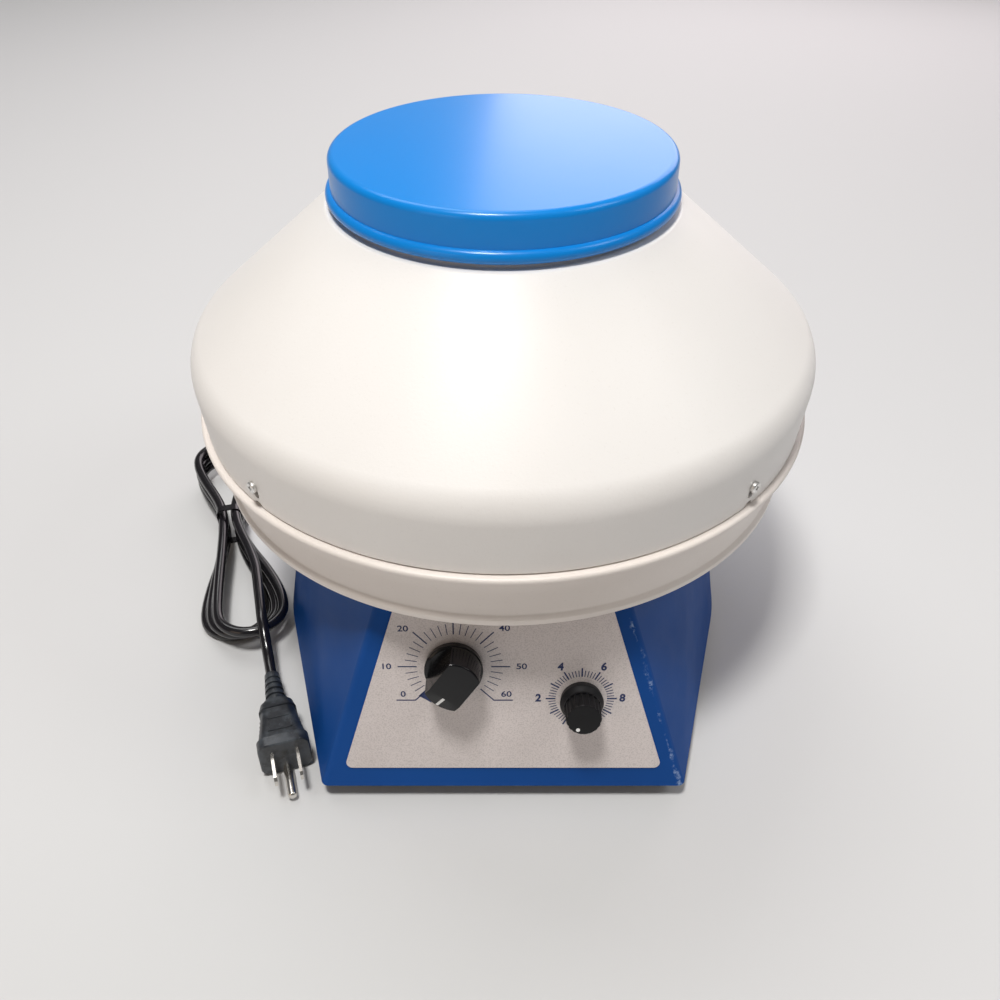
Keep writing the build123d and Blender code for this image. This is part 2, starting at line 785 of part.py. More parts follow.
def speed_knob():
    """A skirted knob whose grip has shallow flutes."""
    shape = turned([
        (0, 0, 0),
        (speed_knob_radius - 0.6, 0, 0),
        (speed_knob_radius, 3.6, 1.2),
        (speed_grip_radius + 0.5, 6.4, 1.0),
        (speed_grip_radius, speed_knob_height, 1.0),
        (0, speed_knob_height, 0),
    ])
    flute = Pos(speed_grip_radius + 1.0, 0, speed_knob_height) * Cylinder(1.45, 2 * (speed_knob_height - 7.2))
    shape = shape - [Rot(0, 0, 22.5 + 20 * n) * flute for n in range(18)]
    shape = Rot(0, 0, speed_rest_angle) * (shape - knob_recess(speed_knob_height - 4) - dot_shape())
    return one(panel_place(speed_x, speed_up, knob_foot()) * shape)


def dot_shape():
    return Pos(speed_grip_radius - 2.2, 0, speed_knob_height - 0.5) * Cylinder(0.95, 1.2)


def speed_dot():
    return one(panel_place(speed_x, speed_up, knob_foot()) * (Rot(0, 0, speed_rest_angle) * dot_shape()))


# Mains cord

def base_radius_at(height):
    share = (height - base_bottom) / base_height
    return base_radius_bottom + share * (base_radius_top - base_radius_bottom)


def relief_place(distance):
    """A place on the cord's way out of the housing; local +Z points outwards."""
    direction = along(90 + relief_angle, 1)
    return Plane(origin=(*along(90 + relief_angle, distance), relief_level),
                 z_dir=(direction[0], direction[1], 0)).location


def relief_hole():
    wall = base_radius_at(relief_level)
    return relief_place(wall) * Cylinder(relief_radius - 1.2, 14)


def strain_relief():
    """A moulded gland: flanges on both sides of the wall and a tapered, ringed sleeve."""
    wall = base_radius_at(relief_level)
    waist = relief_radius - 1.3
    sleeve = turned([
        (0, -7, 0),
        (relief_radius, -7, 0.8),
        (relief_radius, -4.2, 0),
        (waist, -4.2, 0),
        (waist, 1.6, 0),
        (relief_flange_radius, 1.6, 0.6),
        (relief_flange_radius, 4.6, 0.8),
        (relief_radius - 0.8, 4.6, 0),
        (cord_radius + 1.2, relief_length, 0.8),
        (0, relief_length, 0),
    ])
    groove = turned([(cord_radius + 1.6, 0, 0), (9, 0, 0), (9, 1.5, 0), (cord_radius + 1.6, 1.5, 0)])
    for n in range(5):
        sleeve = sleeve - Pos(0, 0, 9 + 3.6 * n) * groove
    return one(relief_place(wall) * sleeve)


def route_tube(points):
    """A round tube along straight runs joined by the largest tangent arcs that the runs allow."""
    spots = [Vector(*point) for point in points]
    radii = []
    for before, here, after in zip(spots, spots[1:], spots[2:]):
        turn = (here - before).get_angle(after - here)
        shorter = min((here - before).length, (after - here).length)
        radii.append(0.45 * shorter / math.tan(math.radians(turn / 2)))
    path = Wire(FilletPolyline(*spots, radius=radii).edges())
    section = Plane(origin=path @ 0, z_dir=path % 0) * Circle(cord_radius)
    tube = one(sweep(section, path=path))
    print("tube radii", [round(r, 1) for r in radii], "length", round(path.length, 1),
          "volume share", round(tube.volume / (math.pi * cord_radius ** 2 * path.length), 4))
    return tube


def hank_point(u, v, z):
    """A point of the hank from its own directions: u to its far end, v towards the machine."""
    lean = math.radians(hank_lean)
    x = hank_centre[0] - u * math.sin(lean) + v * math.cos(lean)
    y = hank_centre[1] + u * math.cos(lean) + v * math.sin(lean)
    return Vector(x, y, z)


def hank_stops():
    """The strands' stops, end, waist and end: each loop lies on the one before it."""
    side = hank_step / 2
    lift = tie_thickness + tie_clearance
    stops = []
    for loop in range(hank_loops):
        level = cord_floor + hank_layer * loop
        near = -hank_near - hank_near_step * loop
        shift = hank_shift * loop
        stops += [(hank_far, hank_bend, level), (0, side, level + lift), (near, shift + hank_bend, level)]
        stops += [(near, shift - hank_bend, level), (0, -side, level + hank_layer / 2 + lift),
                  (hank_far, -hank_bend, level + hank_layer)]
    return stops + [(hank_far, hank_bend, hank_top), (0, side, hank_top + lift), (*tail_start, tail_level)]


def hank_path():
    """One smooth wire: an S of two arcs between an end and the waist, a half turn round each end."""
    stops = hank_stops()
    edges = []
    forward = -1
    for number in range(len(stops) - 1):
        start = hank_point(*stops[number])
        end = hank_point(*stops[number + 1])
        heading = (hank_point(1, 0, 0) - hank_point(0, 0, 0)) * forward
        if number % 3 == 2:
            edges.append(Edge.make_tangent_arc(start, heading, end))
            forward = -forward
        else:
            middle = (start + end) * 0.5
            first = Edge.make_tangent_arc(start, heading, middle)
            edges.append(first)
            edges.append(Edge.make_tangent_arc(middle, first % 1, end))
    return Wire(edges)


def least_gap(path, step, apart):
    """The least distance between stretches of the wire that lie far apart along it, less the cord."""
    count = int(path.length / step)
    spots = [path @ (n / count) for n in range(count + 1)]
    skip = int(apart / step)
    least = min((spots[a] - spots[b]).length for a in range(len(spots)) for b in range(a + skip, len(spots)))
    return least - 2 * cord_radius


def cord_hank():
    path = hank_path()
    section = Plane(origin=path @ 0, z_dir=path % 0) * Circle(cord_radius)
    tube = one(sweep(section, path=path))
    print("hank length", round(path.length, 1), "least gap", round(least_gap(path, 2.5, 45), 2),
          "volume share", round(tube.volume / (math.pi * cord_radius ** 2 * path.length), 4))
    return tube


def cord_lead():
    """From the strain relief round behind the machine to the hank's far end."""
    outlet = along(90 + relief_angle, base_radius_at(relief_level) + relief_length)
    beyond = along(90 + relief_angle, base_radius_at(relief_level) + relief_length + 24)
    landing = hank_point(hank_far, hank_bend, cord_floor)
    approach = hank_point(hank_far + 26, hank_bend, cord_floor)
    return route_tube([
        (*outlet, relief_level),
        (*beyond, relief_level),
        (-62, 196, 17),
        (-90, 208, 7),
        (-120, 207, cord_floor),
        (-147, 199, cord_floor),
        (-166, 181, cord_floor),
        (approach.X, approach.Y, approach.Z),
        (landing.X, landing.Y, landing.Z),
    ])


def plug_origin():
    """Where the cord enters the plug's strain relief."""
    return (-127.0, -79.0, plug_height)


def plug_place(distance, side=0.0, up=0.0):
    """A place on the plug: along its axis, to the side and up; local +Z points to the blades."""
    x, y, z = plug_origin()
    dx, dy = along(plug_direction, distance)
    sx, sy = along(plug_direction - 90, side)
    heading = along(plug_direction, 1)
    return Plane(origin=(x + dx + sx, y + dy + sy, z + up), x_dir=(heading[1], -heading[0], 0),
                 z_dir=(heading[0], heading[1], 0)).location


def cord_tail():
    """From the hank's top over its near bends to the plug."""
    start = hank_point(*tail_start, tail_level)
    after = hank_point(*tail_turn, tail_level)
    x, y, z = plug_origin()
    back = along(plug_direction, -tail_run)
    return route_tube([
        (start.X, start.Y, start.Z),
        (after.X, after.Y, after.Z),
        (x + back[0], y + back[1], z),
        (x, y, z),
    ])


def cord_tie():
    """A band round the waist of the hank."""
    lift = tie_clearance
    width = hank_step + 2 * cord_radius + 2 * lift
    low = tie_thickness
    high = hank_top + cord_radius + tie_thickness + 2 * lift
    inner = RectangleRounded(width, high - low, cord_radius)
    outer = RectangleRounded(width + 2 * tie_thickness, high - low + 2 * tie_thickness,
                             cord_radius + tie_thickness)
    band = extrude(outer - inner, tie_width / 2, both=True)
    heading = hank_point(1, 0, 0) - hank_point(0, 0, 0)
    across = hank_point(0, 1, 0) - hank_point(0, 0, 0)
    middle = hank_point(0, 0, (low + high) / 2)
    return one(Plane(origin=middle, x_dir=across, z_dir=heading).location * band)


def plug_body():
    """The moulded plug: a ringed relief, a waisted grip and a flat front flange."""
    relief = turned([
        (0, 0, 0),
        (cord_radius + 1.0, 0, 0.5),
        (cord_radius + 2.4, plug_relief_length, 0),
        (0, plug_relief_length, 0),
    ])
    groove = turned([(cord_radius + 0.8, 0, 0), (9, 0, 0), (9, 1.7, 0), (cord_radius + 0.8, 1.7, 0)])
    for n in range(4):
        relief = relief - Pos(0, 0, 4 + 4.2 * n) * groove
    start = plug_relief_length
    wide, high = 2 * plug_half_width, 2 * plug_half_height
    grip = loft([
        Pos(0, 0, start - 0.5) * RectangleRounded(wide * 0.52, high * 0.62, 4),
        Pos(0, 0, start + plug_length * 0.35) * RectangleRounded(wide * 0.78, high * 0.84, 5),
        Pos(0, 0, start + plug_length - 6) * RectangleRounded(wide * 0.9, high * 0.92, 5),
    ], ruled=True)
    flange = Pos(0, 0, start + plug_length - 6) * extrude(RectangleRounded(wide, high, 5), 6, dir=(0, 0, 1))
    return one(plug_place(0) * (relief + grip + flange))


def plug_blades():
    """Two flat blades with the usual holes near their rounded ends."""
    front = plug_relief_length + plug_length
    blade = Pos(0, 0, blade_length / 2) * Box(blade_thickness, blade_width, blade_length)
    blade = chamfer(blade.edges().filter_by(Axis.X).sort_by(Axis.Z)[-2:], 1.4)
    blade = blade - Pos(0, 0, blade_length - 3.6) * Rot(0, 90, 0) * Cylinder(blade_hole_radius, 6)
    return [plug_place(front, side * blade_spacing / 2, 2.5) * blade for side in (-1, 1)]


def plug_ground_pin():
    """The round earth pin under the blades."""
    front = plug_relief_length + plug_length
    pin = turned([
        (0, 0, 0),
        (ground_radius, 0, 0),
        (ground_radius, ground_length, 1.8),
        (0, ground_length, 0),
    ])
    return one(plug_place(front, 0, 2.5 - ground_offset + 1.4) * pin)


nodes = {
    "base_housing": base_housing,
    "bottom_plate": bottom_plate,
    "rubber_feet": rubber_feet,
    "foot_screws": foot_screws,
    "control_panel": control_panel,
    "lower_pan": lower_pan,
    "pan_screws": pan_screws,
    "upper_cover": upper_cover,
    "cover_screws": cover_screws,
    "cover_nuts": cover_nuts,
    "mouth_trim": mouth_trim,
    "lid": lid,
    "motor_plate": motor_plate,
    "motor_dampers": motor_dampers,
    "motor_body": motor_body,
    "motor_end_cap": motor_end_cap,
    "brush_caps": brush_caps,
    "motor_shaft": motor_shaft,
    "rotor_head": rotor_head,
    "tube_sleeves": tube_sleeves,
    "sleeve_cushions": sleeve_cushions,
    "rotor_nut": rotor_nut,
    "timer_mechanism": timer_mechanism,
    "timer_shaft": lambda: knob_shaft(timer_x, timer_up, 12, timer_knob_height - 5),
    "timer_knob": timer_knob,
    "timer_pointer": timer_pointer,
    "speed_control": speed_control,
    "speed_shaft": lambda: knob_shaft(speed_x, speed_up, 10, speed_knob_height - 4),
    "speed_knob": speed_knob,
    "speed_dot": speed_dot,
    "control_nuts": control_nuts,
    "strain_relief": strain_relief,
    "cord_lead": cord_lead,
    "cord_hank": cord_hank,
    "cord_tie": cord_tie,
    "cord_tail": cord_tail,
    "plug_body": plug_body,
    "plug_blades": plug_blades,
    "plug_ground_pin": plug_ground_pin,
}

os.makedirs("parts", exist_ok=True)
for name, make in nodes.items():
    made = make()
    pieces = made if isinstance(made, list) else [made]
    solids = [solid for piece in pieces for solid in piece.solids()]
    shape = solids[0] if len(solids) == 1 else Compound(children=solids)
    export_step(shape, os.path.join("parts", name + ".step"))
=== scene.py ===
import json
import math

import bmesh
import bpy
from mathutils import Matrix, Vector

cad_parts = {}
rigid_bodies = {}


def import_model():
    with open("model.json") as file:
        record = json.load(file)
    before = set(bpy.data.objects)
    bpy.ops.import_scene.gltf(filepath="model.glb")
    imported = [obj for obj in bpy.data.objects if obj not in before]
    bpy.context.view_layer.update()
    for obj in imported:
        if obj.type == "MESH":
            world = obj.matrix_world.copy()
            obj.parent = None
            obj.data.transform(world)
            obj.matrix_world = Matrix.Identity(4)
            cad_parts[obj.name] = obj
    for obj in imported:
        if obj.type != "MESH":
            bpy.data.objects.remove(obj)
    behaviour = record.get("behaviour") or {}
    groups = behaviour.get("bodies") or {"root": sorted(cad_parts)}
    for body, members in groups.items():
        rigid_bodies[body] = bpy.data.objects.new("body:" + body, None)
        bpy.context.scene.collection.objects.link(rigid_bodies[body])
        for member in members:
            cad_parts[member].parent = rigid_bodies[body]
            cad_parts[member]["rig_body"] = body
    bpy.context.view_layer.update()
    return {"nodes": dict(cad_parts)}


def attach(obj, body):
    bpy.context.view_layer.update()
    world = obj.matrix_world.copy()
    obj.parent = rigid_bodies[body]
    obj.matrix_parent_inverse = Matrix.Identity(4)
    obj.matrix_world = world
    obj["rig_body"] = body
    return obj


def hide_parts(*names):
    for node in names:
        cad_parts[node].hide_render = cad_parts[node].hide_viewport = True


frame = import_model()
cad_nodes = frame["nodes"]
MM = 0.001

# Sizes that the finish needs, in metres, close to the construction's own
sheet = 1.2 * MM
cover_radius = 150 * MM
cover_height = 35 * MM
shoulder_flare = 2.8 * MM
shoulder_round = 17.9 * MM
cone_rise = 62 * MM
hem_height = 155 * MM
hem_gap = 0.7 * MM
neck_radius = 75.3 * MM
neck_height = 19 * MM
ledge_radius = neck_radius + 5.7 * MM
slot_width = 4 * MM
slot_length = 8.6 * MM
notch_width = 5.6 * MM
notch_height = 1.8 * MM
cover_screw_level = 11.3 * MM
cover_screw_radius = 1.6 * MM
slot_clearance = 0.4 * MM
slot_cutter_reach = 6 * MM
ledge_inner_round = 1.5 * MM
ledge_outer_round = 2.5 * MM
corner_turns = [math.radians(angle) for angle in (45, 135, 225, 315)]

trim_wall = 0.7 * MM
trim_roof = 2.5 * MM
trim_depth = 6 * MM
trim_crown_round = 1.2 * MM
trim_edge_round = 0.4 * MM
lid_side_clearance = 0.6 * MM
lid_top_clearance = 0.3 * MM
lid_radius = neck_radius + trim_wall + lid_side_clearance + sheet
lid_corner = 3.2 * MM
lid_bead_radius = 3.05 * MM
lid_bead_proud = 2.4 * MM
lid_bead_gap = 2.15 * MM

pan_rim = 147.4 * MM
pan_rim_rise = 21 * MM
pan_ledge_reach = cover_radius + 3 * MM
pan_ledge_height = 3.2 * MM
pan_ledge_round = 1.4 * MM
pan_ledge_drop = 0.2 * MM
pan_fold_round = 1.3 * MM
pan_crease_round = 1.6 * MM
pan_crease_inset = 1.2 * MM
pan_wall_radius = 143.7 * MM
pan_wall_lean = 0.6 * MM
pan_wall_bend = 19 * MM
pan_wall_round = 12 * MM
pan_lip_radius = 145.3 * MM
pan_lip_height = 3.2 * MM
pan_lip_step = 5.4 * MM
pan_depth = 34.5 * MM
pan_dome_radius = 54 * MM
pan_dome_rise = 13 * MM
pan_dome_slope = 8 * MM
pan_dome_round = 6 * MM
pan_collar_radius = 22 * MM
pan_collar_height = 5 * MM

base_bottom = 10 * MM
base_radius_bottom = 127 * MM
base_radius_top = 108.5 * MM
base_wall = 2 * MM
base_corner_round = 4 * MM
flange_width = 15 * MM
lower_flange_width = 20 * MM
panel_tilt = math.radians(16)
panel_level = 77 * MM
panel_front = 128.7 * MM
label_half_width = 59.7 * MM
label_spread = 0.323
label_margin = 8.2 * MM
label_thickness = 0.8 * MM
timer_place = (-23 * MM, 0.0)
speed_place = (37 * MM, -17.7 * MM)
vent_count = 9
vent_step = 5.5
vent_turns = [math.radians(90 + vent_step * (n - vent_count // 2)) for n in range(vent_count)]
vent_width = 3 * MM
vent_height = 34 * MM
vent_level = 52 * MM
vent_cutter_reach = 30 * MM
crease_inset = 1.8 * MM

cord_radius = 3.1 * MM
cord_floor = 3.15 * MM
hank_centre = Vector((-176.5 * MM, 48 * MM, 0))
hank_lean = math.radians(14)
hank_loops = 3
hank_bend = 19 * MM
hank_shift = 4.5 * MM
hank_far = 60 * MM
hank_near = 72 * MM
hank_near_step = 6 * MM
hank_entry = 26 * MM
hank_layer = 6.65 * MM
hank_step = 7.4 * MM
hank_top = cord_floor + hank_layer * hank_loops
tail_lift = 0.4 * MM
tail_start = (-62 * MM, 14.5 * MM, hank_top + tail_lift)
tie_lift = 0.95 * MM
plug_start = Vector((-127 * MM, -79 * MM, 12.2 * MM))
plug_heading = math.radians(287.5)

shoulder_level = hem_height + cover_height
ledge_level = shoulder_level + cone_rise
neck_top = ledge_level + neck_height
trim_top = neck_top + trim_roof
lid_top = trim_top + lid_top_clearance + sheet
lid_bead_level = ledge_level + lid_bead_gap + lid_bead_radius
pan_under = hem_height - pan_depth
base_top = pan_under

# How finely round shapes are divided
spin_segments = 224
arc_step = math.radians(8)
bead_parts = 28
notch_parts = 24
drum_parts = 96
corner_parts = 6
slot_end_parts = 10
sharp_angle = math.radians(32)
merge_distance = 0.002 * MM
shortest_edge = 0.001 * MM
mitre_limit = 0.5


# Shader arithmetic

def math_method(operation, flipped=False):
    """A method that runs one math node on a value and, if given, another."""
    def run(self, *others):
        values = (*others, self) if flipped else (self, *others)
        return self.finish.add("ShaderNodeMath", {"operation": operation}, *values)[0]
    return run


class Number:
    """A shader value that takes part in plain arithmetic."""

    def __init__(self, finish, socket):
        self.finish = finish
        self.socket = socket

    __add__ = math_method("ADD")
    __radd__ = math_method("ADD", True)
    __sub__ = math_method("SUBTRACT")
    __rsub__ = math_method("SUBTRACT", True)
    __mul__ = math_method("MULTIPLY")
    __rmul__ = math_method("MULTIPLY", True)
    __truediv__ = math_method("DIVIDE")
    __abs__ = math_method("ABSOLUTE")
    root = math_method("SQRT")
    sine = math_method("SINE")

    def rise(self, low, high):
        """0 below low, 1 above high, smooth between."""
        ramp = {"interpolation_type": "SMOOTHSTEP", "clamp": True}
        return self.finish.add("ShaderNodeMapRange", ramp, self, low, high, 0.0, 1.0)[0]


class Outputs:
    """The outputs of one shader node, by name or by place."""

    def __init__(self, finish, node):
        self.finish = finish
        self.node = node

    def __getitem__(self, key):
        return Number(self.finish, self.node.outputs[key])


class Finish:
    """One material, built on a Principled shader."""

    def __init__(self, name, **plain):
        self.material = bpy.data.materials.new(name)
        self.material.use_nodes = True
        self.tree = self.material.node_tree
        self.tree.nodes.clear()
        self.shader = self.tree.nodes.new("ShaderNodeBsdfPrincipled")
        output = self.tree.nodes.new("ShaderNodeOutputMaterial")
        self.tree.links.new(self.shader.outputs["BSDF"], output.inputs["Surface"])
        self.place = self.add("ShaderNodeTexCoord", {})["Object"]
        for key, value in plain.items():
            self.give(key.replace("_", " "), value)

    def add(self, kind, settings, *values, **named):
        """Adds one node with its settings and its inputs, by place or by name."""
        node = self.tree.nodes.new(kind)
        for key, value in settings.items():
            setattr(node, key, value)
        inputs = [(node.inputs[number], value) for number, value in enumerate(values)]
        inputs += [(node.inputs[key.replace("_", " ")], value) for key, value in named.items()]
        for socket, value in inputs:
            self.join(socket, value)
        return Outputs(self, node)

    def join(self, socket, value):
        if isinstance(value, Number):
            self.tree.links.new(value.socket, socket)
        elif isinstance(value, tuple) and len(value) == 3 and socket.type == "RGBA":
            socket.default_value = (*value, 1)
        else:
            socket.default_value = value

    def give(self, name, value):
        """Sets or links a socket of the shader itself."""
        self.join(self.shader.inputs[name], value)

    def noise(self, scale, detail=2.0, rough=0.5, place=None):
        return self.add("ShaderNodeTexNoise", {}, Vector=place or self.place, Scale=scale,
                        Detail=detail, Roughness=rough)["Fac"]

    def stretched(self, x, y, z):
        """The place on the piece, scaled unevenly, for brush marks."""
        return self.add("ShaderNodeMapping", {}, Vector=self.place, Scale=(x, y, z))["Vector"]

    def xyz(self):
        split = self.add("ShaderNodeSeparateXYZ", {}, self.place)
        return split["X"], split["Y"], split["Z"]

    def mix(self, share, first, second):
        node = self.tree.nodes.new("ShaderNodeMix")
        node.data_type = "RGBA"
        self.join(node.inputs["Factor"], share)
        self.join(node.inputs[6], first)
        self.join(node.inputs[7], second)
        return Number(self, node.outputs[2])

    def bump(self, height, distance):
        bump = self.add("ShaderNodeBump", {}, Strength=1.0, Distance=distance, Height=height)
        self.give("Normal", bump["Normal"])


# Finishes: colours in linear light, bump heights in metres

def lid_enamel():
    """Sprayed gloss enamel with slight cloudiness and a trace of orange peel."""
    f = Finish("lid_enamel", Specular_IOR_Level=0.26, Coat_Weight=0.2, Coat_Roughness=0.16)
    blue, deep_blue = (0.002, 0.225, 0.67), (0.002, 0.212, 0.645)
    f.give("Base Color", f.mix(f.noise(9, 3), blue, deep_blue))
    f.give("Roughness", 0.26 + 0.06 * f.noise(14))
    f.bump(f.noise(260), 0.003 * MM)
    return f.material


def base_enamel():
    """Blue enamel with rubbed wear and a painted highlight, pale along the crease on the right of
    the front.
    """
    f = Finish("base_enamel", Specular_IOR_Level=0.12, Coat_Weight=0.0, Coat_Roughness=0.16)
    # The last colour is pale rubbed wear mixed with a painted highlight
    blue, deep_blue, worn_highlight_blue = (0.006, 0.068, 0.29), (0.005, 0.057, 0.245), (0.42, 0.55, 0.75)
    x, y, z = f.xyz()
    front_half = label_half_width + label_margin + label_spread * (panel_level - z)
    crease = abs(abs(x) - (front_half - crease_inset))
    right_front = (-1 * y).rise(100 * MM, 112 * MM) * x.rise(0, 20 * MM)
    patch = f.noise(24, 6, 0.75).rise(0.42, 0.52) * f.noise(420, 6, 0.8).rise(0.44, 0.56)
    width = 0.3 * MM + 2.4 * MM * f.noise(90, 5, 0.75).rise(0.4, 0.7)
    # Pale patches along the right crease: rubbed wear together with a painted highlight of the
    # glossy strip
    rubbed_and_highlight = (1 - (crease / width).rise(0.2, 1.0)) * right_front * patch
    cloud = f.mix(f.noise(9, 3).rise(0.3, 0.75), blue, deep_blue)
    f.give("Base Color", f.mix(rubbed_and_highlight * 0.6, cloud, worn_highlight_blue))
    f.give("Roughness", 0.42 + 0.16 * f.noise(60, 4) + 0.1 * rubbed_and_highlight)
    f.bump(f.noise(260), 0.036 * MM)
    return f.material


def powder_coat(name, pale, shade, speck, speck_share, cloud_scale, rough):
    """Off-white semi-gloss powder coat with its fine grain."""
    f = Finish(name, Specular_IOR_Level=0.45)
    cloud = f.mix(f.noise(cloud_scale, 4, 0.55).rise(0.35, 0.7), pale, shade)
    f.give("Base Color", f.mix(f.noise(900, 2).rise(0.6, 0.8) * speck_share, cloud, speck))
    f.give("Roughness", rough + 0.12 * f.noise(40, 3))
    f.bump(f.noise(700, 3) + 0.5 * f.noise(2200, 2), 0.04 * MM)
    return f.material


def label_film():
    """Satin grey film with a fine metallic speckle and a few handling marks."""
    f = Finish("label_film", Specular_IOR_Level=0.5)
    silver, shade, dark_speck = (0.72, 0.656, 0.638), (0.68, 0.62, 0.6), (0.44, 0.395, 0.38)
    speckle = f.noise(1500, 2, 0.6)
    grey = f.mix(f.noise(30, 3).rise(0.35, 0.7), silver, shade)
    f.give("Base Color", f.mix(speckle.rise(0.42, 0.7) * 0.5, grey, dark_speck))
    f.give("Roughness", 0.38 + 0.14 * f.noise(90, 3))
    f.give("Metallic", 0.25 * speckle.rise(0.3, 0.6))
    f.bump(speckle, 0.03 * MM)
    return f.material


def ink():
    """Screen-printed dark blue, a little thin in places."""
    f = Finish("dial_ink", Specular_IOR_Level=0.4)
    dark_blue, thin_blue = (0.016, 0.028, 0.105), (0.08, 0.1, 0.19)
    thin = f.noise(1800, 2).rise(0.4, 0.75) * 0.25
    f.give("Base Color", f.mix(thin, dark_blue, thin_blue))
    f.give("Roughness", 0.4 + 0.1 * f.noise(300))
    return f.material


def rubber(name, colour, dust):
    """Matt rubber with dust in its pores."""
    f = Finish(name, Specular_IOR_Level=0.35)
    f.give("Base Color", f.mix(f.noise(160, 5, 0.65).rise(0.5, 0.75) * 0.5, colour, dust))
    f.give("Roughness", 0.62 + 0.2 * f.noise(120, 4))
    f.bump(f.noise(900, 3), 0.06 * MM)
    return f.material


def moulded(name, colour, dust, rough, grain, share=0.3, shine=0.5):
    """Moulded plastic with a spark-eroded skin and a little dust."""
    f = Finish(name, Specular_IOR_Level=shine)
    f.give("Base Color", f.mix(f.noise(420, 6, 0.7).rise(0.56, 0.74) * share, colour, dust))
    f.give("Roughness", rough + 0.14 * f.noise(70, 4))
    f.bump(f.noise(1600, 3, 0.6), grain)
    return f.material


def smoky_vinyl():
    """The plug's dark vinyl: slightly cloudy, scuffed and greyed by handling."""
    f = Finish("smoky_vinyl", Specular_IOR_Level=0.55, Coat_Weight=0.25, Coat_Roughness=0.2)
    black, smoke, pale_scuff = (0.012, 0.014, 0.018), (0.05, 0.058, 0.068), (0.22, 0.24, 0.27)
    cloud = f.noise(110, 5, 0.62)
    grey = f.mix(cloud.rise(0.38, 0.66), black, smoke)
    scuff = f.noise(650, 5, 0.7).rise(0.58, 0.74) * f.noise(60, 2).rise(0.45, 0.6)
    f.give("Base Color", f.mix(scuff * 0.5, grey, pale_scuff))
    f.give("Roughness", 0.3 + 0.25 * cloud + 0.2 * scuff)
    f.bump(f.noise(500, 4) + 0.6 * scuff, 0.08 * MM)
    return f.material


def steel(name, colour, rough, scales):
    """Plain or plated steel with fine marks, drawn out along the axis of the smallest scale."""
    f = Finish(name, Metallic=1.0)
    darker = tuple(0.8 * part for part in colour)
    marks = f.noise(1.0, 4, 0.6, f.stretched(*scales))
    f.give("Base Color", f.mix(marks.rise(0.3, 0.7), colour, darker))
    f.give("Roughness", rough + 0.16 * marks)
    f.bump(marks, 0.03 * MM)
    return f.material


def zinc_plate():
    """Passivated zinc: pale spangle with a faint warm bloom."""
    f = Finish("zinc_plate", Metallic=1.0)
    grey, warm_bloom = (0.55, 0.56, 0.56), (0.63, 0.6, 0.52)
    spangle = f.noise(90, 4, 0.7)
    f.give("Base Color", f.mix(spangle.rise(0.35, 0.65), grey, warm_bloom))
    f.give("Roughness", 0.3 + 0.2 * spangle)
    f.bump(f.noise(600, 3), 0.03 * MM)
    return f.material


def turned_aluminium():
    """Aluminium with the rings that a lathe leaves round the axis."""
    f = Finish("turned_aluminium", Metallic=1.0)
    grey, bright = (0.66, 0.67, 0.69), (0.78, 0.79, 0.8)
    coarse, fine = 5200, 13100
    x, y, z = f.xyz()
    radius = (x * x + y * y).root()
    rings = ((radius * coarse).sine() + (radius * fine + 5 * f.noise(30)).sine()) * 0.25 + 0.5
    f.give("Base Color", f.mix(rings, grey, bright))
    f.give("Roughness", 0.24 + 0.14 * f.noise(50, 3))
    f.bump(rings, 0.04 * MM)
    return f.material


def floor_paper():
    """The matt pale paper of the floor and the backdrop."""
    grey = (0.62, 0.62, 0.62)
    return Finish("floor_paper", Base_Color=grey, Roughness=0.9, Specular_IOR_Level=0.1).material


# Mesh helpers

def linked(name, data):
    """A new object with the given data, linked into the scene."""
    made = bpy.data.objects.new(name, data)
    bpy.context.scene.collection.objects.link(made)
    return made


def rounded(corners, closed=False, parts=None):
    """A line through corners given as two coordinates and a rounding."""
    line = []
    count = len(corners)
    for number, (a, b, rounding) in enumerate(corners):
        here = Vector((a, b))
        if rounding == 0 or (not closed and number in (0, count - 1)):
            line.append(here)
            continue
        back = (Vector(corners[number - 1][:2]) - here).normalized()
        ahead = (Vector(corners[(number + 1) % count][:2]) - here).normalized()
        opening = back.angle(ahead)
        centre = here + (back + ahead).normalized() * (rounding / math.sin(opening / 2))
        first = here + back * (rounding / math.tan(opening / 2)) - centre
        turn = math.pi - opening
        if back.x * ahead.y - back.y * ahead.x > 0:
            turn = -turn
        pieces = parts or max(2, math.ceil(abs(turn) / arc_step))
        for part in range(pieces + 1):
            line.append(centre + Matrix.Rotation(turn * part / pieces, 2) @ first)
    return line


def side_line(line, distance, closed=False):
    """The line moved to its right-hand side by a distance."""
    moved = []
    count = len(line)
    for number, here in enumerate(line):
        before = line[number - 1] if closed or number else None
        after = line[(number + 1) % count] if closed or number < count - 1 else None
        ways = []
        if before is not None:
            ways.append((here - before).normalized())
        if after is not None:
            ways.append((after - here).normalized())
        sides = [Vector((way.y, -way.x)) for way in ways]
        side = sum(sides, Vector((0, 0))).normalized()
        moved.append(here + side * (distance / max(mitre_limit, side.dot(sides[0]))))
    return moved


def sheet_loop(corners, thickness):
    """The closed section of a spun sheet from its outer line."""
    line = rounded(corners)
    return line + side_line(line, thickness)[::-1]


def mesh_piece(name, vertices, faces, finish):
    """A piece from its points and faces, in one finish."""
    mesh = bpy.data.meshes.new(name)
    mesh.from_pydata([tuple(v) for v in vertices], [], faces)
    mesh.materials.append(finish)
    return linked(name, mesh)


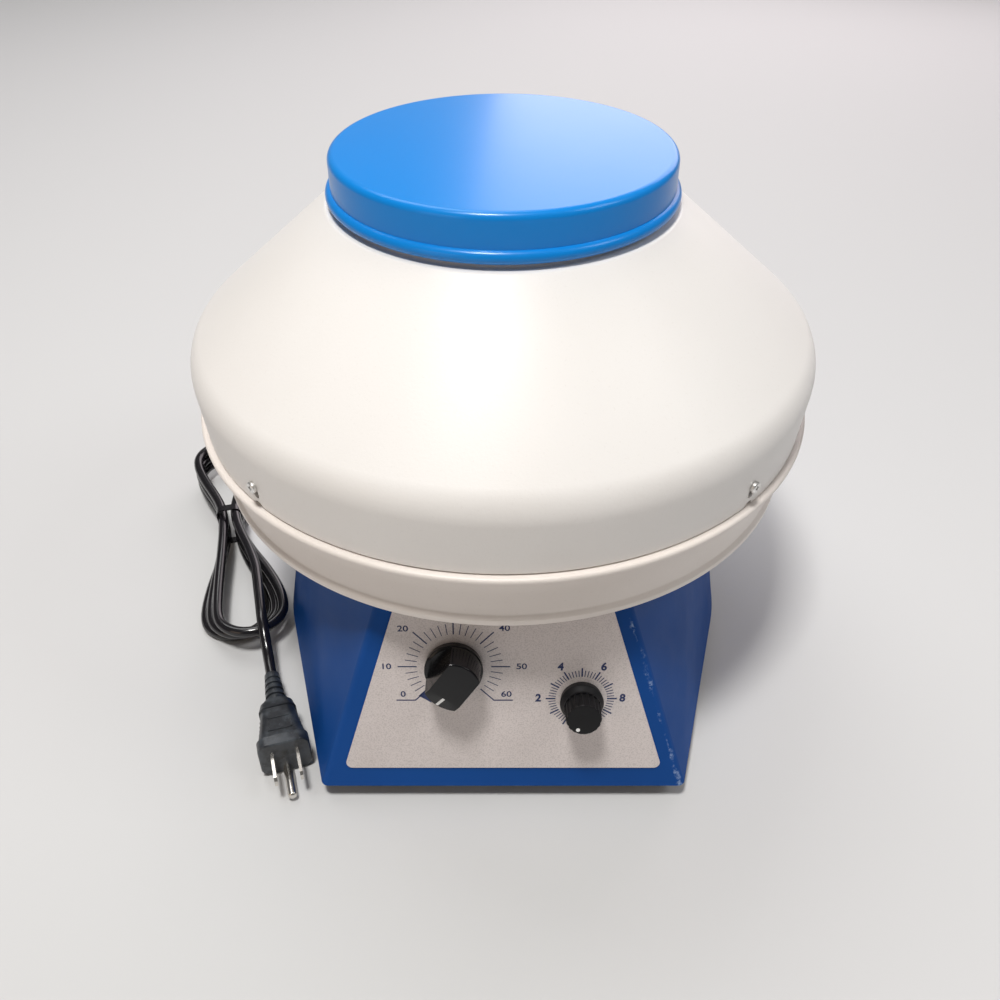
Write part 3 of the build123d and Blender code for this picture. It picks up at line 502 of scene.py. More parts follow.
def tidy(piece, outward=True):
    """Merges doubles, turns faces outwards and smooths all but the sharp edges."""
    mesh = bmesh.new()
    mesh.from_mesh(piece.data)
    bmesh.ops.remove_doubles(mesh, verts=mesh.verts, dist=merge_distance)
    bmesh.ops.dissolve_degenerate(mesh, edges=mesh.edges, dist=shortest_edge)
    if outward:
        bmesh.ops.recalc_face_normals(mesh, faces=mesh.faces)
    for face in mesh.faces:
        face.smooth = True
    for edge in mesh.edges:
        edge.smooth = len(edge.link_faces) == 2 and edge.calc_face_angle(0) < sharp_angle
    mesh.to_mesh(piece.data)
    mesh.free()
    return piece


def settled(piece):
    """The piece with its modifiers worked in, as a plain mesh."""
    bpy.context.view_layer.update()
    graph = bpy.context.evaluated_depsgraph_get()
    mesh = bpy.data.meshes.new_from_object(piece.evaluated_get(graph), depsgraph=graph)
    name = piece.name
    materials = list(piece.data.materials)
    bpy.data.objects.remove(piece)
    mesh.name = name
    if not mesh.materials:
        for material in materials:
            mesh.materials.append(material)
    return linked(name, mesh)


def cut(piece, cutter):
    """Takes the cutter's room out of the piece."""
    modifier = piece.modifiers.new("cut", "BOOLEAN")
    modifier.operation = "DIFFERENCE"
    modifier.solver = "EXACT"
    modifier.object = cutter
    made = settled(piece)
    bpy.data.objects.remove(cutter)
    return made


def joined(pieces, name):
    """Several meshes as one piece."""
    whole = bmesh.new()
    for piece in pieces:
        whole.from_mesh(piece.data)
    first = pieces[0].data.materials[0]
    for piece in pieces:
        bpy.data.objects.remove(piece)
    mesh = bpy.data.meshes.new(name)
    whole.to_mesh(mesh)
    whole.free()
    mesh.materials.append(first)
    return linked(name, mesh)


def place_on(piece, body, slot, *replaced):
    """Puts the piece on its body and hides the CAD nodes it stands for; the slot argument is not
    used.
    """
    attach(piece, body)
    if replaced:
        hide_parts(*replaced)
    return piece


# Node trees that make what is spun or repeated

def new_tree(name, inputs):
    """A geometry tree with a mesh in and out and the named size inputs."""
    tree = bpy.data.node_groups.new(name, "GeometryNodeTree")
    sockets = tree.interface
    sockets.new_socket("Geometry", in_out="INPUT", socket_type="NodeSocketGeometry")
    for key, kind in inputs.items():
        sockets.new_socket(key, in_out="INPUT", socket_type=kind)
    sockets.new_socket("Geometry", in_out="OUTPUT", socket_type="NodeSocketGeometry")
    return tree, tree.nodes.new("NodeGroupInput"), tree.nodes.new("NodeGroupOutput")


def tree_node(tree, kind, settings=(), **values):
    """Adds one node; a value is a number, an output, or a node for its first output."""
    node = tree.nodes.new(kind)
    for key, value in dict(settings).items():
        setattr(node, key, value)
    for key, value in values.items():
        place = key.replace("_", " ")
        socket = node.inputs[int(place[2:])] if place.startswith("at") else node.inputs[place]
        if isinstance(value, bpy.types.Node):
            value = value.outputs[0]
        if isinstance(value, bpy.types.NodeSocket):
            tree.links.new(value, socket)
        else:
            socket.default_value = value
    return node


def run_tree(piece, tree, **values):
    """The piece run through a tree with the given inputs, as a plain mesh."""
    modifier = piece.modifiers.new(tree.name, "NODES")
    modifier.node_group = tree
    sockets = tree.interface.items_tree
    names = {socket.name: socket.identifier for socket in sockets if socket.in_out == "INPUT"}
    for key, value in values.items():
        modifier[names[key.replace("_", " ")]] = value
    return settled(piece)


def spinning_tree():
    """Spins a section, drawn in X and Y as radius and height, round the Z axis."""
    inputs = {"Segments": "NodeSocketInt", "Finish": "NodeSocketMaterial"}
    tree, given, result = new_tree("spun_section", inputs)
    section = tree_node(tree, "GeometryNodeMeshToCurve", Mesh=given.outputs["Geometry"])
    ring = tree_node(tree, "GeometryNodeCurvePrimitiveCircle", Radius=1.0,
                     Resolution=given.outputs["Segments"])
    upright = tree_node(tree, "GeometryNodeSetCurveNormal", {"mode": "Z_UP"}, Curve=ring)
    spun = tree_node(tree, "GeometryNodeCurveToMesh", Curve=upright, Profile_Curve=section)
    merged = tree_node(tree, "GeometryNodeMergeByDistance", Geometry=spun, Distance=shortest_edge)
    dressed = tree_node(tree, "GeometryNodeSetMaterial", Geometry=merged,
                        Material=given.outputs["Finish"])
    tree.links.new(dressed.outputs[0], result.inputs["Geometry"])
    return tree


def spin(name, loop, finish):
    """A closed section spun round the axis; the tree's circle is one metre round it."""
    mesh = bpy.data.meshes.new(name)
    count = len(loop)
    edges = [(n, (n + 1) % count) for n in range(count)]
    mesh.from_pydata([(point[0] - 1, -point[1], 0) for point in loop], edges, [])
    return tidy(run_tree(linked(name, mesh), spun_tree, Segments=spin_segments, Finish=finish))


def around_axis_tree(skipping):
    """Copies of the piece round the Z axis; with skipping, every nth copy is left out."""
    name = "round_the_axis_with_gaps" if skipping else "round_the_axis"
    inputs = {"Count": "NodeSocketInt", "First turn": "NodeSocketFloat",
              "Step": "NodeSocketFloat", "Finish": "NodeSocketMaterial"}
    if skipping:
        inputs["Gap every"] = "NodeSocketInt"
    tree, given, result = new_tree(name, inputs)
    spots = tree_node(tree, "GeometryNodePoints", Count=given.outputs["Count"])
    index = tree_node(tree, "GeometryNodeInputIndex")
    turn = tree_node(tree, "ShaderNodeMath", {"operation": "MULTIPLY_ADD"}, at0=index,
                     at1=given.outputs["Step"], at2=given.outputs["First turn"])
    axis = tree_node(tree, "ShaderNodeCombineXYZ", Z=turn)
    copies = tree_node(tree, "GeometryNodeInstanceOnPoints", Points=spots,
                       Instance=given.outputs["Geometry"], Rotation=axis)
    if skipping:
        rest = tree_node(tree, "ShaderNodeMath", {"operation": "MODULO"}, at0=index,
                         at1=given.outputs["Gap every"])
        kept = tree_node(tree, "ShaderNodeMath", {"operation": "GREATER_THAN"}, at0=rest, at1=0.5)
        tree.links.new(kept.outputs[0], copies.inputs["Selection"])
    real = tree_node(tree, "GeometryNodeRealizeInstances", Geometry=copies)
    dressed = tree_node(tree, "GeometryNodeSetMaterial", Geometry=real,
                        Material=given.outputs["Finish"])
    tree.links.new(dressed.outputs[0], result.inputs["Geometry"])
    return tree


def block(name, low, high, finish):
    """A closed block between two corners."""
    a, b = Vector(low), Vector(high)
    corners = [(x, y, z) for x in (a.x, b.x) for y in (a.y, b.y) for z in (a.z, b.z)]
    faces = [(0, 1, 3, 2), (4, 6, 7, 5), (0, 4, 5, 1), (2, 3, 7, 6), (0, 2, 6, 4), (1, 5, 7, 3)]
    return mesh_piece(name, corners, faces, finish)


def wall_faces(count, ring, after):
    """The faces between two numbered rings of so many points each."""
    faces = []
    for n in range(count):
        m = (n + 1) % count
        faces.append((ring * count + n, ring * count + m, after * count + m, after * count + n))
    return faces


def prism(name, outline, low, high, finish, matrix=Matrix.Identity(4)):
    """An outline in X and Y made solid between two heights, then placed."""
    count = len(outline)
    vertices = [matrix @ Vector((p[0], p[1], z)) for z in (low, high) for p in outline]
    faces = [tuple(range(count))[::-1], tuple(range(count, 2 * count))]
    return mesh_piece(name, vertices, faces + wall_faces(count, 0, 1), finish)


def lofted(name, sections, finish):
    """A solid through rounded rectangles: distance, half width, half height, corner."""
    rings = []
    for distance, wide, high, corner in sections:
        corners = [(wide, high), (-wide, high), (-wide, -high), (wide, -high)]
        line = rounded([(*place, corner) for place in corners], closed=True, parts=corner_parts)
        rings.append([Vector((point[0], point[1], distance)) for point in line])
    count = len(rings[0])
    last = len(rings) - 1
    faces = [tuple(range(count))[::-1], tuple(range(count * last, count * (last + 1)))]
    for ring in range(last):
        faces += wall_faces(count, ring, ring + 1)
    return mesh_piece(name, [point for ring in rings for point in ring], faces, finish)


def stadium(length, width):
    """A slot's outline, long along Y."""
    radius = width / 2
    reach = length / 2 - radius
    outline = []
    for end, first in ((1, 0.0), (-1, math.pi)):
        for part in range(slot_end_parts + 1):
            turn = first + math.pi * part / slot_end_parts
            outline.append((radius * math.cos(turn), end * reach + radius * math.sin(turn)))
    return outline


def cut_round(piece, outline, reach, radius, level, turns, finish):
    """Cuts an outline, X along the wall and Y up, through a round wall at evenly spaced turns."""
    upright = Matrix.Rotation(math.pi / 2, 4, "Y") @ Matrix.Rotation(math.pi / 2, 4, "Z")
    place = Matrix.Translation((radius, 0, level)) @ upright
    cutter = prism("cutter", outline, -reach, reach, finish, place)
    cutters = run_tree(cutter, around_tree, Count=len(turns), First_turn=turns[0],
                       Step=turns[1] - turns[0], Finish=finish)
    return cut(piece, cutters)


def finished(node, finish, slot):
    """A CAD node's own shape with its doubles merged and its round faces smooth."""
    source = cad_nodes[node].data
    vertices = [v.co.copy() for v in source.vertices]
    faces = [tuple(p.vertices) for p in source.polygons]
    piece = tidy(mesh_piece(node + "_finished", vertices, faces, finish), outward=False)
    return place_on(piece, cad_nodes[node]["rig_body"], slot, node)


spun_tree = spinning_tree()
around_tree = around_axis_tree(skipping=False)
gapped_tree = around_axis_tree(skipping=True)


# Camera and stage

camera_place = (-1.5 * MM, -429.4 * MM, 419.2 * MM)
camera_pitch = math.radians(38.9)
camera_lens = 34.56
camera_sensor = 36

floor_half = 6
sweep_start = 2.2
sweep_radius = 1.2
sweep_parts = 16
backdrop_height = 5


def make_camera():
    """The photograph's view, looking down from in front."""
    camera = linked("camera", bpy.data.cameras.new("camera"))
    camera.data.sensor_width = camera_sensor
    camera.data.sensor_fit = "HORIZONTAL"
    camera.data.lens = camera_lens
    camera.data.clip_start = 0.01
    camera.location = camera_place
    camera.rotation_euler = (math.pi / 2 - camera_pitch, 0, 0)
    bpy.context.scene.camera = camera


def make_stage():
    """A pale floor that curves up into a backdrop."""
    profile = [(-floor_half, 0)]
    for part in range(sweep_parts + 1):
        turn = math.pi / 2 * part / sweep_parts
        y = sweep_start + sweep_radius * math.sin(turn)
        profile.append((y, sweep_radius * (1 - math.cos(turn))))
    profile.append((sweep_start + sweep_radius, backdrop_height))
    vertices = [(x, y, z) for y, z in profile for x in (-floor_half, floor_half)]
    faces = [(2 * n, 2 * n + 1, 2 * n + 3, 2 * n + 2) for n in range(len(profile) - 1)]
    floor = mesh_piece("floor", vertices, faces, floor_paper())
    for polygon in floor.data.polygons:
        polygon.use_smooth = True


def area_light(name, place, target, size, power, colour=(1, 1, 1), height=None):
    """A rectangular lamp turned to its target; square unless a height is given."""
    lamp = bpy.data.lights.new(name, "AREA")
    lamp.shape = "RECTANGLE"
    lamp.size = size
    lamp.size_y = height or size
    lamp.energy = power
    lamp.color = colour
    holder = linked(name, lamp)
    holder.location = place
    holder.rotation_euler = (Vector(target) - Vector(place)).to_track_quat("-Z", "Y").to_euler()


def make_lights():
    """Lamps overhead, beside and behind, a bright wall, a warm fill and the room's own light."""
    area_light("ceiling_lamp", place=(-0.2, -0.5, 1.74), target=(0, 0, 0.2), size=0.28, power=22.5,
               colour=(1.0, 0.985, 0.96))
    area_light("side_lamp", place=(1.25, -0.35, 1.45), target=(0, 0, 0.2), size=0.6, power=5.5)
    area_light("bright_wall", place=(0.66, 1.7, 0.95), target=(0.05, 0, 0.25), size=1.5, power=12.5,
               colour=(1.0, 0.89, 0.93), height=1.1)
    area_light("back_lamp", place=(-0.5, 1.1, 2.0), target=(-0.4, 1.3, 0), size=1.4, power=20)
    area_light("warm_fill", place=(-0.9, -1.1, 0.5), target=(0, 0, 0.12), size=0.7, power=1.6,
               colour=(1.0, 0.78, 0.58))
    world = bpy.data.worlds.new("room")
    world.use_nodes = True
    background = world.node_tree.nodes["Background"]
    background.inputs["Color"].default_value = (1.0, 0.98, 0.96, 1)
    background.inputs["Strength"].default_value = 0.14
    bpy.context.scene.world = world
    bpy.context.scene.view_settings.view_transform = "Standard"


# The mains cord: one line from the strain relief through the hank to the plug

def hank_point(u, v, z):
    """A point of the hank from its own directions: u to its far end, v towards the machine."""
    x = hank_centre.x - u * math.sin(hank_lean) + v * math.cos(hank_lean)
    y = hank_centre.y + u * math.cos(hank_lean) + v * math.sin(hank_lean)
    return Vector((x, y, z))


def hank_stops():
    """The strands' stops, end, waist and end: each loop lies on the one before it."""
    side = hank_step / 2
    stops = []
    for loop in range(hank_loops):
        level = cord_floor + hank_layer * loop
        near = -hank_near - hank_near_step * loop
        shift = hank_shift * loop
        stops += [
            (hank_far, hank_bend, level),
            (0, side, level + tie_lift),
            (near, shift + hank_bend, level),
            (near, shift - hank_bend, level),
            (0, -side, level + hank_layer / 2 + tie_lift),
            (hank_far, -hank_bend, level + hank_layer),
        ]
    return stops + [(hank_far, hank_bend, hank_top), (0, side, hank_top + tie_lift), tail_start]


def hank_points():
    """Control points of the hank: S-shaped runs to the waist and half turns round the ends."""
    stops = hank_stops()
    bend_parts = 7
    run_parts = 4
    points = []
    for number in range(len(stops) - 1):
        (u0, v0, z0), (u1, v1, z1) = stops[number], stops[number + 1]
        bends = number % 3 == 2
        parts = bend_parts if bends else run_parts
        for part in range(parts):
            share = (part + 0.5) / parts
            turn = math.pi * share
            u = u0 + (u1 - u0) * share
            if bends:
                reach = (v0 - v1) / 2 / math.cos(math.pi / parts / 2)
                u += math.copysign(reach, u0) * math.sin(turn)
                v = (v0 + v1) / 2 + reach * math.cos(turn)
                z = z0 + (z1 - z0) * share
            else:
                ease = (1 - math.cos(turn)) / 2
                v = v0 + (v1 - v0) * ease
                z = z0 + (z1 - z0) * ease
            points.append(hank_point(u, v, z))
    return points


def make_cord(finish):
    """One smooth curve: the lead behind the base, the hank and the tail to the plug."""
    outlet = (-39.98 * MM, 149.22 * MM, 25 * MM)
    lead = [
        outlet,
        (-46.2 * MM, 172.41 * MM, 25 * MM),
        (-62 * MM, 196 * MM, 17 * MM),
        (-90 * MM, 208 * MM, 7 * MM),
        (-120 * MM, 207 * MM, cord_floor),
        (-147 * MM, 199 * MM, cord_floor),
        (-166 * MM, 181 * MM, cord_floor),
        hank_point(hank_far + hank_entry, hank_bend, cord_floor),
    ]
    tail = [
        hank_point(*tail_start),
        hank_point(-88 * MM, 15.2 * MM, tail_start[2]),
        hank_point(-106 * MM, 15.6 * MM, tail_start[2]),
        (-131.27 * MM, -65.46 * MM, plug_start.z),
        plug_start,
    ]
    points = [Vector(p) for p in lead] + hank_points() + [Vector(p) for p in tail]
    curve = bpy.data.curves.new("mains_cord", "CURVE")
    curve.dimensions = "3D"
    line = curve.splines.new("NURBS")
    line.points.add(len(points) - 1)
    for spot, point in zip(line.points, points):
        spot.co = (*point, 1)
    line.order_u = 3
    line.use_endpoint_u = True
    line.resolution_u = 6
    curve.bevel_depth = cord_radius
    curve.bevel_resolution = 5
    curve.use_fill_caps = True
    curve.materials.append(finish)
    cord = linked("mains_cord", curve)
    place_on(cord, "chassis", "cord_vinyl", "cord_lead", "cord_hank", "cord_tail")
    return cord, outlet


# Spun sheet pieces

def make_cover(finish):
    """The spun cover, slotted and notched at its four screws."""
    loop = sheet_loop([
        (neck_radius, neck_top, 0),
        (neck_radius, ledge_level, ledge_inner_round),
        (ledge_radius, ledge_level, ledge_outer_round),
        (cover_radius + shoulder_flare, shoulder_level, shoulder_round),
        (cover_radius, hem_height + hem_gap, 0),
    ], sheet)
    shell = spin("upper_cover_shell", loop, finish)
    slot_top = hem_height + cover_screw_level + cover_screw_radius + slot_clearance
    slot = stadium(slot_length, slot_width)
    shell = cut_round(shell, slot, slot_cutter_reach, cover_radius, slot_top - slot_length / 2,
                      corner_turns, finish)
    turns = [2 * math.pi * part / notch_parts for part in range(notch_parts)]
    arc = [(notch_width / 2 * math.cos(turn), notch_height * math.sin(turn)) for turn in turns]
    shell = cut_round(shell, arc, slot_cutter_reach, cover_radius, hem_height + hem_gap,
                      corner_turns, finish)
    return place_on(tidy(shell), "chassis", "cover_paint", "upper_cover")


def make_lid(finish):
    """The lid's shell with the bead rolled at its rim."""
    reach = lid_radius - sheet
    middle = lid_radius + lid_bead_proud - lid_bead_radius
    outer = rounded([
        (0, lid_top, 0),
        (lid_radius, lid_top, lid_corner),
        (lid_radius, lid_bead_level, 0),
    ])[:-1]
    bead = []
    first = math.acos((lid_radius - middle) / lid_bead_radius)
    last = -math.acos((reach - middle) / lid_bead_radius)
    for part in range(bead_parts + 1):
        turn = first + (last - first) * part / bead_parts
        bead.append(Vector((middle + lid_bead_radius * math.cos(turn),
                            lid_bead_level + lid_bead_radius * math.sin(turn))))
    inner = rounded([
        (reach, lid_bead_level, 0),
        (reach, lid_top - sheet, lid_corner - sheet),
        (0, lid_top - sheet, 0),
    ])
    lid = spin("lid_shell", outer + bead + inner, finish)
    return place_on(lid, "lid", "lid_paint", "lid")


def make_trim(finish):
    """Rubber edging that grips the neck's rim on both sides."""
    inner = neck_radius - sheet - trim_wall
    outer = neck_radius + trim_wall
    bottom = trim_top - trim_depth
    loop = rounded([
        (outer, bottom, trim_edge_round),
        (outer, trim_top, trim_crown_round),
        (inner, trim_top, trim_crown_round),
        (inner, bottom, trim_edge_round),
        (neck_radius - sheet, bottom, 0),
        (neck_radius - sheet, neck_top, 0),
        (neck_radius, neck_top, 0),
        (neck_radius, bottom, 0),
    ], closed=True)
    return place_on(spin("mouth_edging", loop, finish), "chassis", "black_rubber", "mouth_trim")


def make_pan(finish):
    """The spun pan: rim, folded ledge, wall, lip, floor and the dome under the rotor."""
    ledge_top = hem_height - pan_ledge_drop
    ledge_under = ledge_top - pan_ledge_height
    dome_top = pan_under + pan_dome_rise
    loop = sheet_loop([
        (pan_rim, hem_height + pan_rim_rise, 0),
        (pan_rim, ledge_top, pan_fold_round),
        (pan_ledge_reach, ledge_top, pan_ledge_round),
        (pan_ledge_reach, ledge_under, pan_ledge_round),
        (pan_rim - pan_crease_inset, ledge_under, pan_crease_round),
        (pan_wall_radius + pan_wall_lean, pan_under + pan_wall_bend, pan_wall_round),
        (pan_wall_radius, pan_under + pan_lip_step, pan_crease_round),
        (pan_lip_radius, pan_under + pan_lip_height, pan_fold_round),
        (pan_lip_radius, pan_under, pan_fold_round),
        (pan_dome_radius, pan_under, pan_dome_round),
        (pan_dome_radius - pan_dome_slope, dome_top, pan_dome_round),
        (pan_collar_radius, dome_top, pan_crease_round),
        (pan_collar_radius, dome_top + pan_collar_height, 0),
    ], sheet)
    return place_on(spin("lower_pan_shell", loop, finish), "chassis", "pan_paint", "lower_pan")


# Base housing

def base_outline(height, inset):
    """The round back with side walls that run tangent from it to the flat front's corners."""
    share = (height - base_bottom) / (base_top - base_bottom)
    radius = base_radius_bottom + share * (base_radius_top - base_radius_bottom)
    half = label_half_width + label_margin + (panel_level - height) * label_spread
    reach = panel_front + (panel_level - height) * math.tan(panel_tilt)
    turn = math.atan2(half, reach) + math.acos(radius / math.hypot(half, reach))
    corners = [(-half, -reach, base_corner_round), (half, -reach, base_corner_round)]
    first = turn - math.pi / 2
    last = 3 * math.pi / 2 - turn
    for part in range(drum_parts + 1):
        angle = first + (last - first) * part / drum_parts
        corners.append((radius * math.cos(angle), radius * math.sin(angle), 0))
    line = rounded(corners, closed=True, parts=corner_parts)
    return side_line(line, -inset, closed=True) if inset else line


def make_base(finish):
    """The drum's walls between its outlines, flanged inwards at the top and the bottom."""
    flange_top = base_top - base_wall
    flange_bottom = base_bottom + base_wall
    upper = base_outline(base_top, 0)
    opening = [Vector(p).normalized() * (base_radius_top - flange_width) for p in upper]
    lower_opening = base_outline(base_bottom, lower_flange_width)
    rings = [
        (base_outline(base_bottom, 0), base_bottom),
        (upper, base_top),
        (opening, base_top),
        (opening, flange_top),
        (base_outline(flange_top, base_wall), flange_top),
        (base_outline(flange_bottom, base_wall), flange_bottom),
        (lower_opening, flange_bottom),
        (lower_opening, base_bottom),
    ]
    count = len(upper)
    vertices = [(p[0], p[1], z) for ring, z in rings for p in ring]
    faces = []
    for ring in range(len(rings)):
        faces += wall_faces(count, ring, (ring + 1) % len(rings))
    body = tidy(mesh_piece("base_drum", vertices, faces, finish))
    body = cut_round(body, stadium(vent_height, vent_width), vent_cutter_reach, base_radius_bottom,
                     vent_level, vent_turns, finish)
    return place_on(tidy(body), "chassis", "blue_paint", "base_housing")


# The moulded plug, measured from the cord's end to the face with the blades

# Millimetres: distance, radius
relief_steps = [
    (0, 4.0), (4, 4.3), (4, 3.6), (5.7, 3.6), (5.7, 4.5), (8.2, 4.7), (8.2, 3.8), (9.9, 3.8),
    (9.9, 4.9), (12.4, 5.1), (12.4, 4.0), (14.1, 4.0), (14.1, 5.2), (16.6, 5.35), (16.6, 4.2),
    (18.3, 4.2), (18.3, 5.4), (22, 5.5),
]
relief_corner_share = 0.99

# Millimetres: distance, half width, half height, corner
grip_sections = [
    (21.5, 6.6, 7, 4), (24.3, 7.5, 7.7, 4), (24.7, 8.5, 8.6, 4.2), (29.4, 9.7, 9.6, 4.6),
    (29.8, 9, 8.9, 4.4), (33, 9.3, 9.2, 4.4), (38, 10, 9.7, 4.5), (45, 11.2, 10.4, 4.6),
    (49.6, 12.1, 11, 4.8), (50, 13, 11.6, 5), (55.4, 13, 11.6, 5), (56, 12.4, 11, 4.6),
]


def plug_matrix():
    """From the plug's own axes, X across, Y down and Z towards the blades."""
    ahead = Vector((math.cos(plug_heading), math.sin(plug_heading), 0))
    across = Vector((ahead.y, -ahead.x, 0))
    turn = Matrix((across, (0, 0, -1), ahead)).transposed().to_4x4()
    return Matrix.Translation(plug_start) @ turn


def finger_ribs(finish):
    """Short upright ribs on both flanks, each a little further out than the one behind it."""
    count, start, pitch, length, half_height = 5, 34.5 * MM, 2.6 * MM, 1 * MM, 5 * MM
    flank, flank_step, sunk, proud = 9.5 * MM, 0.42 * MM, 1.2 * MM, 0.4 * MM
    ribs = []
    for rib in range(count):
        z = start + pitch * rib
        x = flank + flank_step * rib
        for side in (-1, 1):
            low, high = sorted((side * (x - sunk), side * (x + proud)))
            ribs.append(block("finger_rib", (low, -half_height, z), (high, half_height, z + length),
                              finish))
    return ribs


def window_bars(finish):
    """A raised rectangular frame on the upper and the lower face."""
    wide, long, bar = 6 * MM, 4.6 * MM, 0.7 * MM
    level, middle, slope = 10.05 * MM, 41.5 * MM, math.radians(5.7)
    corners = [
        ((-wide, -long), (wide, bar - long)),
        ((-wide, long - bar), (wide, long)),
        ((-wide, -long), (bar - wide, long)),
        ((wide - bar, -long), (wide, long)),
    ]
    bars = []
    for side in (-1, 1):
        lean = Matrix.Rotation(-side * slope, 4, "X")
        face = Matrix.Translation((0, side * level, middle)) @ lean
        for (x0, z0), (x1, z1) in corners:
            piece = block("window_bar", (x0, -bar / 2, z0), (x1, bar / 2, z1), finish)
            piece.data.transform(face)
            bars.append(piece)
    return bars


def make_plug(finish):
    """A ribbed relief, a stepped collar, a waisted grip with finger ribs and a square front."""
    steps = [(z * MM, r * MM, r * MM, relief_corner_share * r * MM) for z, r in relief_steps]
    sections = [tuple(size * MM for size in section) for section in grip_sections]
    pieces = [lofted("plug_relief", steps, finish), lofted("plug_grip", sections, finish)]
    plug = joined(pieces + finger_ribs(finish) + window_bars(finish), "moulded_plug")
    plug.data.transform(plug_matrix())
    return place_on(tidy(plug), "chassis", "plug_vinyl", "plug_body")


# Printing on the control panel

ink_low = 0.02 * MM
ink_high = 0.06 * MM
ink_middle = (ink_low + ink_high) / 2
cap_share = 0.72

# Numerals and their places from the dial's centre, in millimetres
timer_numerals = {
    "0": (-24.3, -15.3), "10": (-31.8, 0), "20": (-23.2, 20.3), "30": (0, 31.5),
    "40": (23.6, 20.6), "50": (31.6, 0), "60": (24.5, -15.3),
}
speed_numerals = {"2": (-20.5, 0.2), "4": (-10.2, 17.5), "6": (10, 17.5), "8": (19.4, 0.2)}


def panel_matrix(x, up):
    """A place on the label: X to the right, Y up along the slope, Z out of its face."""
    sine, cosine = math.sin(panel_tilt), math.cos(panel_tilt)
    out = label_thickness
    origin = (x, -panel_front + up * sine - out * cosine, panel_level + up * cosine + out * sine)
    return Matrix.Translation(origin) @ Matrix.Rotation(math.pi / 2 - panel_tilt, 4, "X")


def tick_ring(name, finish, inner, outer, width, first, step, count, gap=0):
    """Printed ticks round a dial, turns in degrees; with a gap, every nth tick is left out."""
    tick = block(name, (inner, -width / 2, ink_low), (outer, width / 2, ink_high), finish)
    tree = gapped_tree if gap else around_tree
    gaps = {"Gap_every": gap} if gap else {}
    return run_tree(tick, tree, Count=count, First_turn=math.radians(first),
                    Step=math.radians(step), Finish=finish, **gaps)


def stroke(name, finish, points, width):
    """A printed line along straight runs."""
    line = [Vector(p) for p in points]
    left = side_line(line, -width / 2)
    right = side_line(line, width / 2)
    return prism(name, left[::-1] + right, ink_low, ink_high, finish)


def numeral(text, finish, place, height, wide, weight, shear=0.0):
    """A plain numeral, centred on its place in millimetres."""
    letters = bpy.data.curves.new("numeral_" + text, "FONT")
    letters.body = text
    letters.size = height / cap_share
    letters.align_x = "CENTER"
    letters.align_y = "CENTER"
    letters.shear = shear
    letters.offset = weight
    letters.extrude = (ink_high - ink_low) / 2
    letters.resolution_u = 6
    letters.materials.append(finish)
    made = settled(linked("numeral_" + text, letters))
    shift = Matrix.Translation((place[0] * MM, place[1] * MM, ink_middle))
    made.data.transform(shift @ Matrix.Diagonal((wide, 1, 1, 1)))
    return made


def place_print(piece, x, up):
    """Lays a dial's print on the label, round the dial's centre."""
    piece.data.transform(panel_matrix(x, up))
    return place_on(piece, "chassis", "panel_print")


def print_timer_dial(finish):
    """The left dial's ticks, a line from each end of its scale, the wedge at zero, numerals."""
    inner, small, large, line, fine_line = 17.4 * MM, 23 * MM, 26.3 * MM, 0.6 * MM, 0.36 * MM
    end_reach = 9 * MM
    wedge = [(-17 * MM, -16.1 * MM), (-12.8 * MM, -11.9 * MM), (-11 * MM, -20 * MM)]
    parts = [
        tick_ring("timer_ticks", finish, inner, large, line, first=180, step=-45, count=5),
        tick_ring("timer_small_ticks", finish, inner, small, fine_line, first=225, step=-9,
                  count=31, gap=5),
    ]
    near, far = inner * math.sqrt(0.5), large * math.sqrt(0.5)
    for side in (-1, 1):
        run = [(side * near, -near), (side * far, -far), (side * (far + end_reach), -far)]
        parts.append(stroke("timer_end_line", finish, run[::side], line))
    parts.append(prism("zero_wedge", wedge, ink_low, ink_high, finish))
    for text, place in timer_numerals.items():
        parts.append(numeral(text, finish, place, height=3.1 * MM, wide=1.2, weight=0.07 * MM))
    return place_print(joined(parts, "timer_dial_print"), *timer_place)


def print_speed_dial(finish):
    """Ticks round the right dial and its numerals."""
    inner, small, large, line, fine_line = 12.2 * MM, 15.6 * MM, 16.9 * MM, 0.75 * MM, 0.42 * MM
    parts = [
        tick_ring("speed_ticks", finish, inner, large, line, first=240, step=-30, count=11),
        tick_ring("speed_small_ticks", finish, inner, small, fine_line, first=240, step=-6,
                  count=51, gap=5),
    ]
    for text, place in speed_numerals.items():
        parts.append(numeral(text, finish, place, height=4.1 * MM, wide=0.95, weight=0.22 * MM,
                             shear=0.06))
    return place_print(joined(parts, "speed_dial_print"), *speed_place)


# Everything in its finish

make_camera()
make_stage()
make_lights()

cord_vinyl = moulded("cord_vinyl", (0.008, 0.007, 0.009), (0.06, 0.056, 0.056),
                     rough=0.1, grain=0.005 * MM, share=0.1, shine=0.6)
plug_finish = smoky_vinyl()
bakelite = moulded("gloss_bakelite", (0.003, 0.003, 0.004), (0.03, 0.03, 0.032),
                   rough=0.07, grain=0.01 * MM, share=0.06, shine=0.35)
nylon = moulded("matt_nylon", (0.006, 0.006, 0.007), (0.04, 0.04, 0.043),
                rough=0.42, grain=0.05 * MM, share=0.15, shine=0.25)
white_fill = moulded("white_fill", (0.85, 0.85, 0.84), (0.7, 0.7, 0.68),
                     rough=0.35, grain=0.01 * MM)
black_rubber = rubber("black_rubber", (0.018, 0.017, 0.017), (0.09, 0.085, 0.08))
red_rubber = rubber("red_rubber", (0.2, 0.035, 0.02), (0.3, 0.12, 0.09))
lacquer = moulded("motor_lacquer", (0.02, 0.021, 0.024), (0.09, 0.09, 0.095),
                  rough=0.4, grain=0.03 * MM)
zinc = zinc_plate()
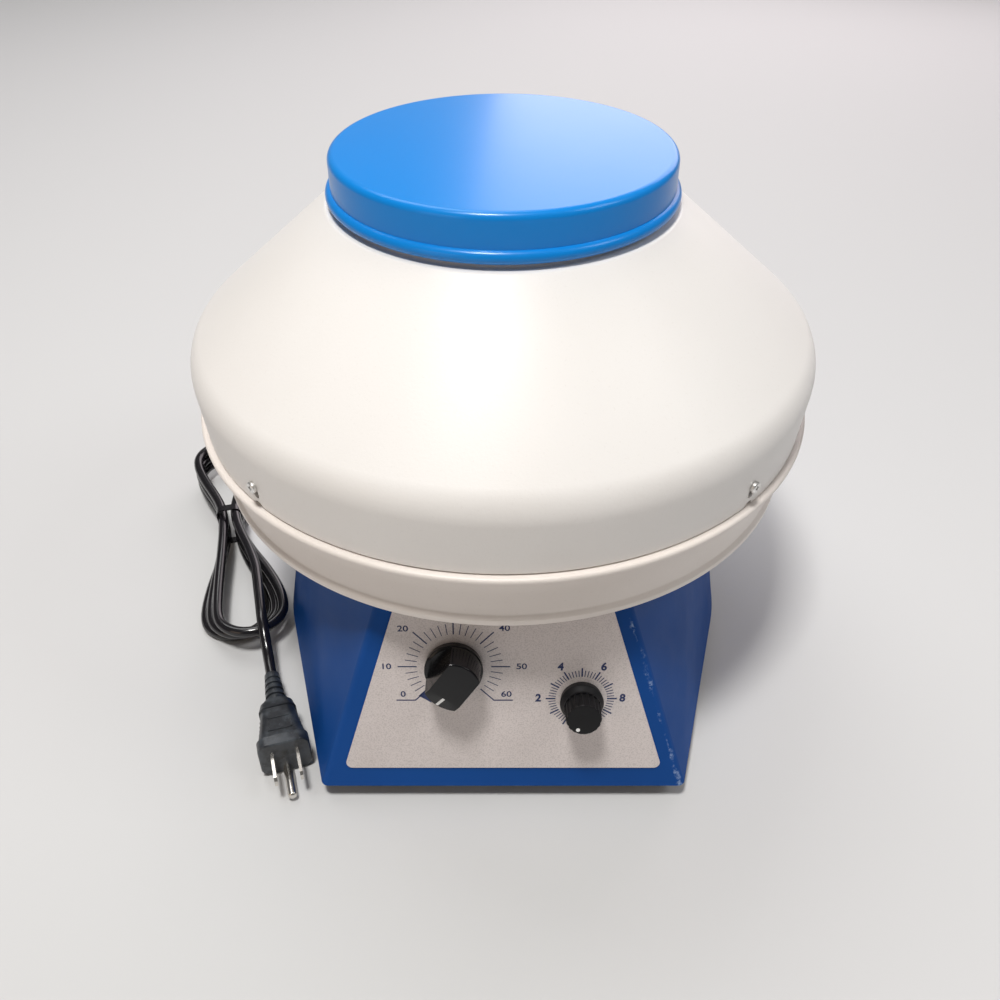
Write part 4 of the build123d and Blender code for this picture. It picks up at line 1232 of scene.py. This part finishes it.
screw_nickel = steel("nickelled_screw", (0.86, 0.85, 0.83), rough=0.3, scales=(900, 900, 900))
ground_steel = steel("ground_steel", (0.62, 0.62, 0.63), rough=0.2, scales=(60, 60, 4000))
drawn_steel = steel("drawn_steel", (0.6, 0.61, 0.63), rough=0.26, scales=(1500, 1500, 80))
nickel = steel("nickel", (0.76, 0.73, 0.68), rough=0.16, scales=(300, 2500, 300))
aluminium = turned_aluminium()
ink_finish = ink()
cover_finish = powder_coat("cover_enamel", pale=(0.82, 0.795, 0.77), shade=(0.8, 0.77, 0.74),
                           speck=(0.64, 0.6, 0.56), speck_share=0.18, cloud_scale=7, rough=0.36)
pan_finish = powder_coat("pan_enamel", pale=(0.83, 0.77, 0.725), shade=(0.8, 0.735, 0.685),
                         speck=(0.58, 0.53, 0.48), speck_share=0.2, cloud_scale=8, rough=0.34)

cord, outlet = make_cord(cord_vinyl)
make_cover(cover_finish)
make_lid(lid_enamel())
make_trim(black_rubber)
make_pan(pan_finish)
make_base(base_enamel())
print_timer_dial(ink_finish)
print_speed_dial(ink_finish)

plain_parts = [
    (label_film(), "panel_print", ["control_panel"]),
    (zinc, "zinc_steel", ["bottom_plate", "cover_nuts", "motor_plate", "timer_mechanism"]),
    (screw_nickel, "screw_steel", ["foot_screws", "pan_screws", "cover_screws", "control_nuts"]),
    (black_rubber, "black_rubber", ["rubber_feet", "motor_dampers"]),
    (lacquer, "motor_steel", ["motor_body"]),
    (aluminium, "cast_aluminium", ["motor_end_cap", "rotor_head"]),
    (ground_steel, "shaft_steel", ["motor_shaft", "rotor_nut", "timer_shaft", "speed_shaft"]),
    (drawn_steel, "sleeve_steel", ["tube_sleeves"]),
    (red_rubber, "cushion_rubber", ["sleeve_cushions"]),
    (bakelite, "black_plastic", ["timer_knob"]),
    (nylon, "black_plastic", ["brush_caps", "speed_control", "speed_knob"]),
    (white_fill, "white_plastic", ["timer_pointer", "speed_dot"]),
    (cord_vinyl, "cord_vinyl", ["strain_relief", "cord_tie"]),
    (nickel, "nickel", ["plug_blades", "plug_ground_pin"]),
]
for finish, slot, nodes in plain_parts:
    for node in nodes:
        finished(node, finish, slot)
make_plug(plug_finish)
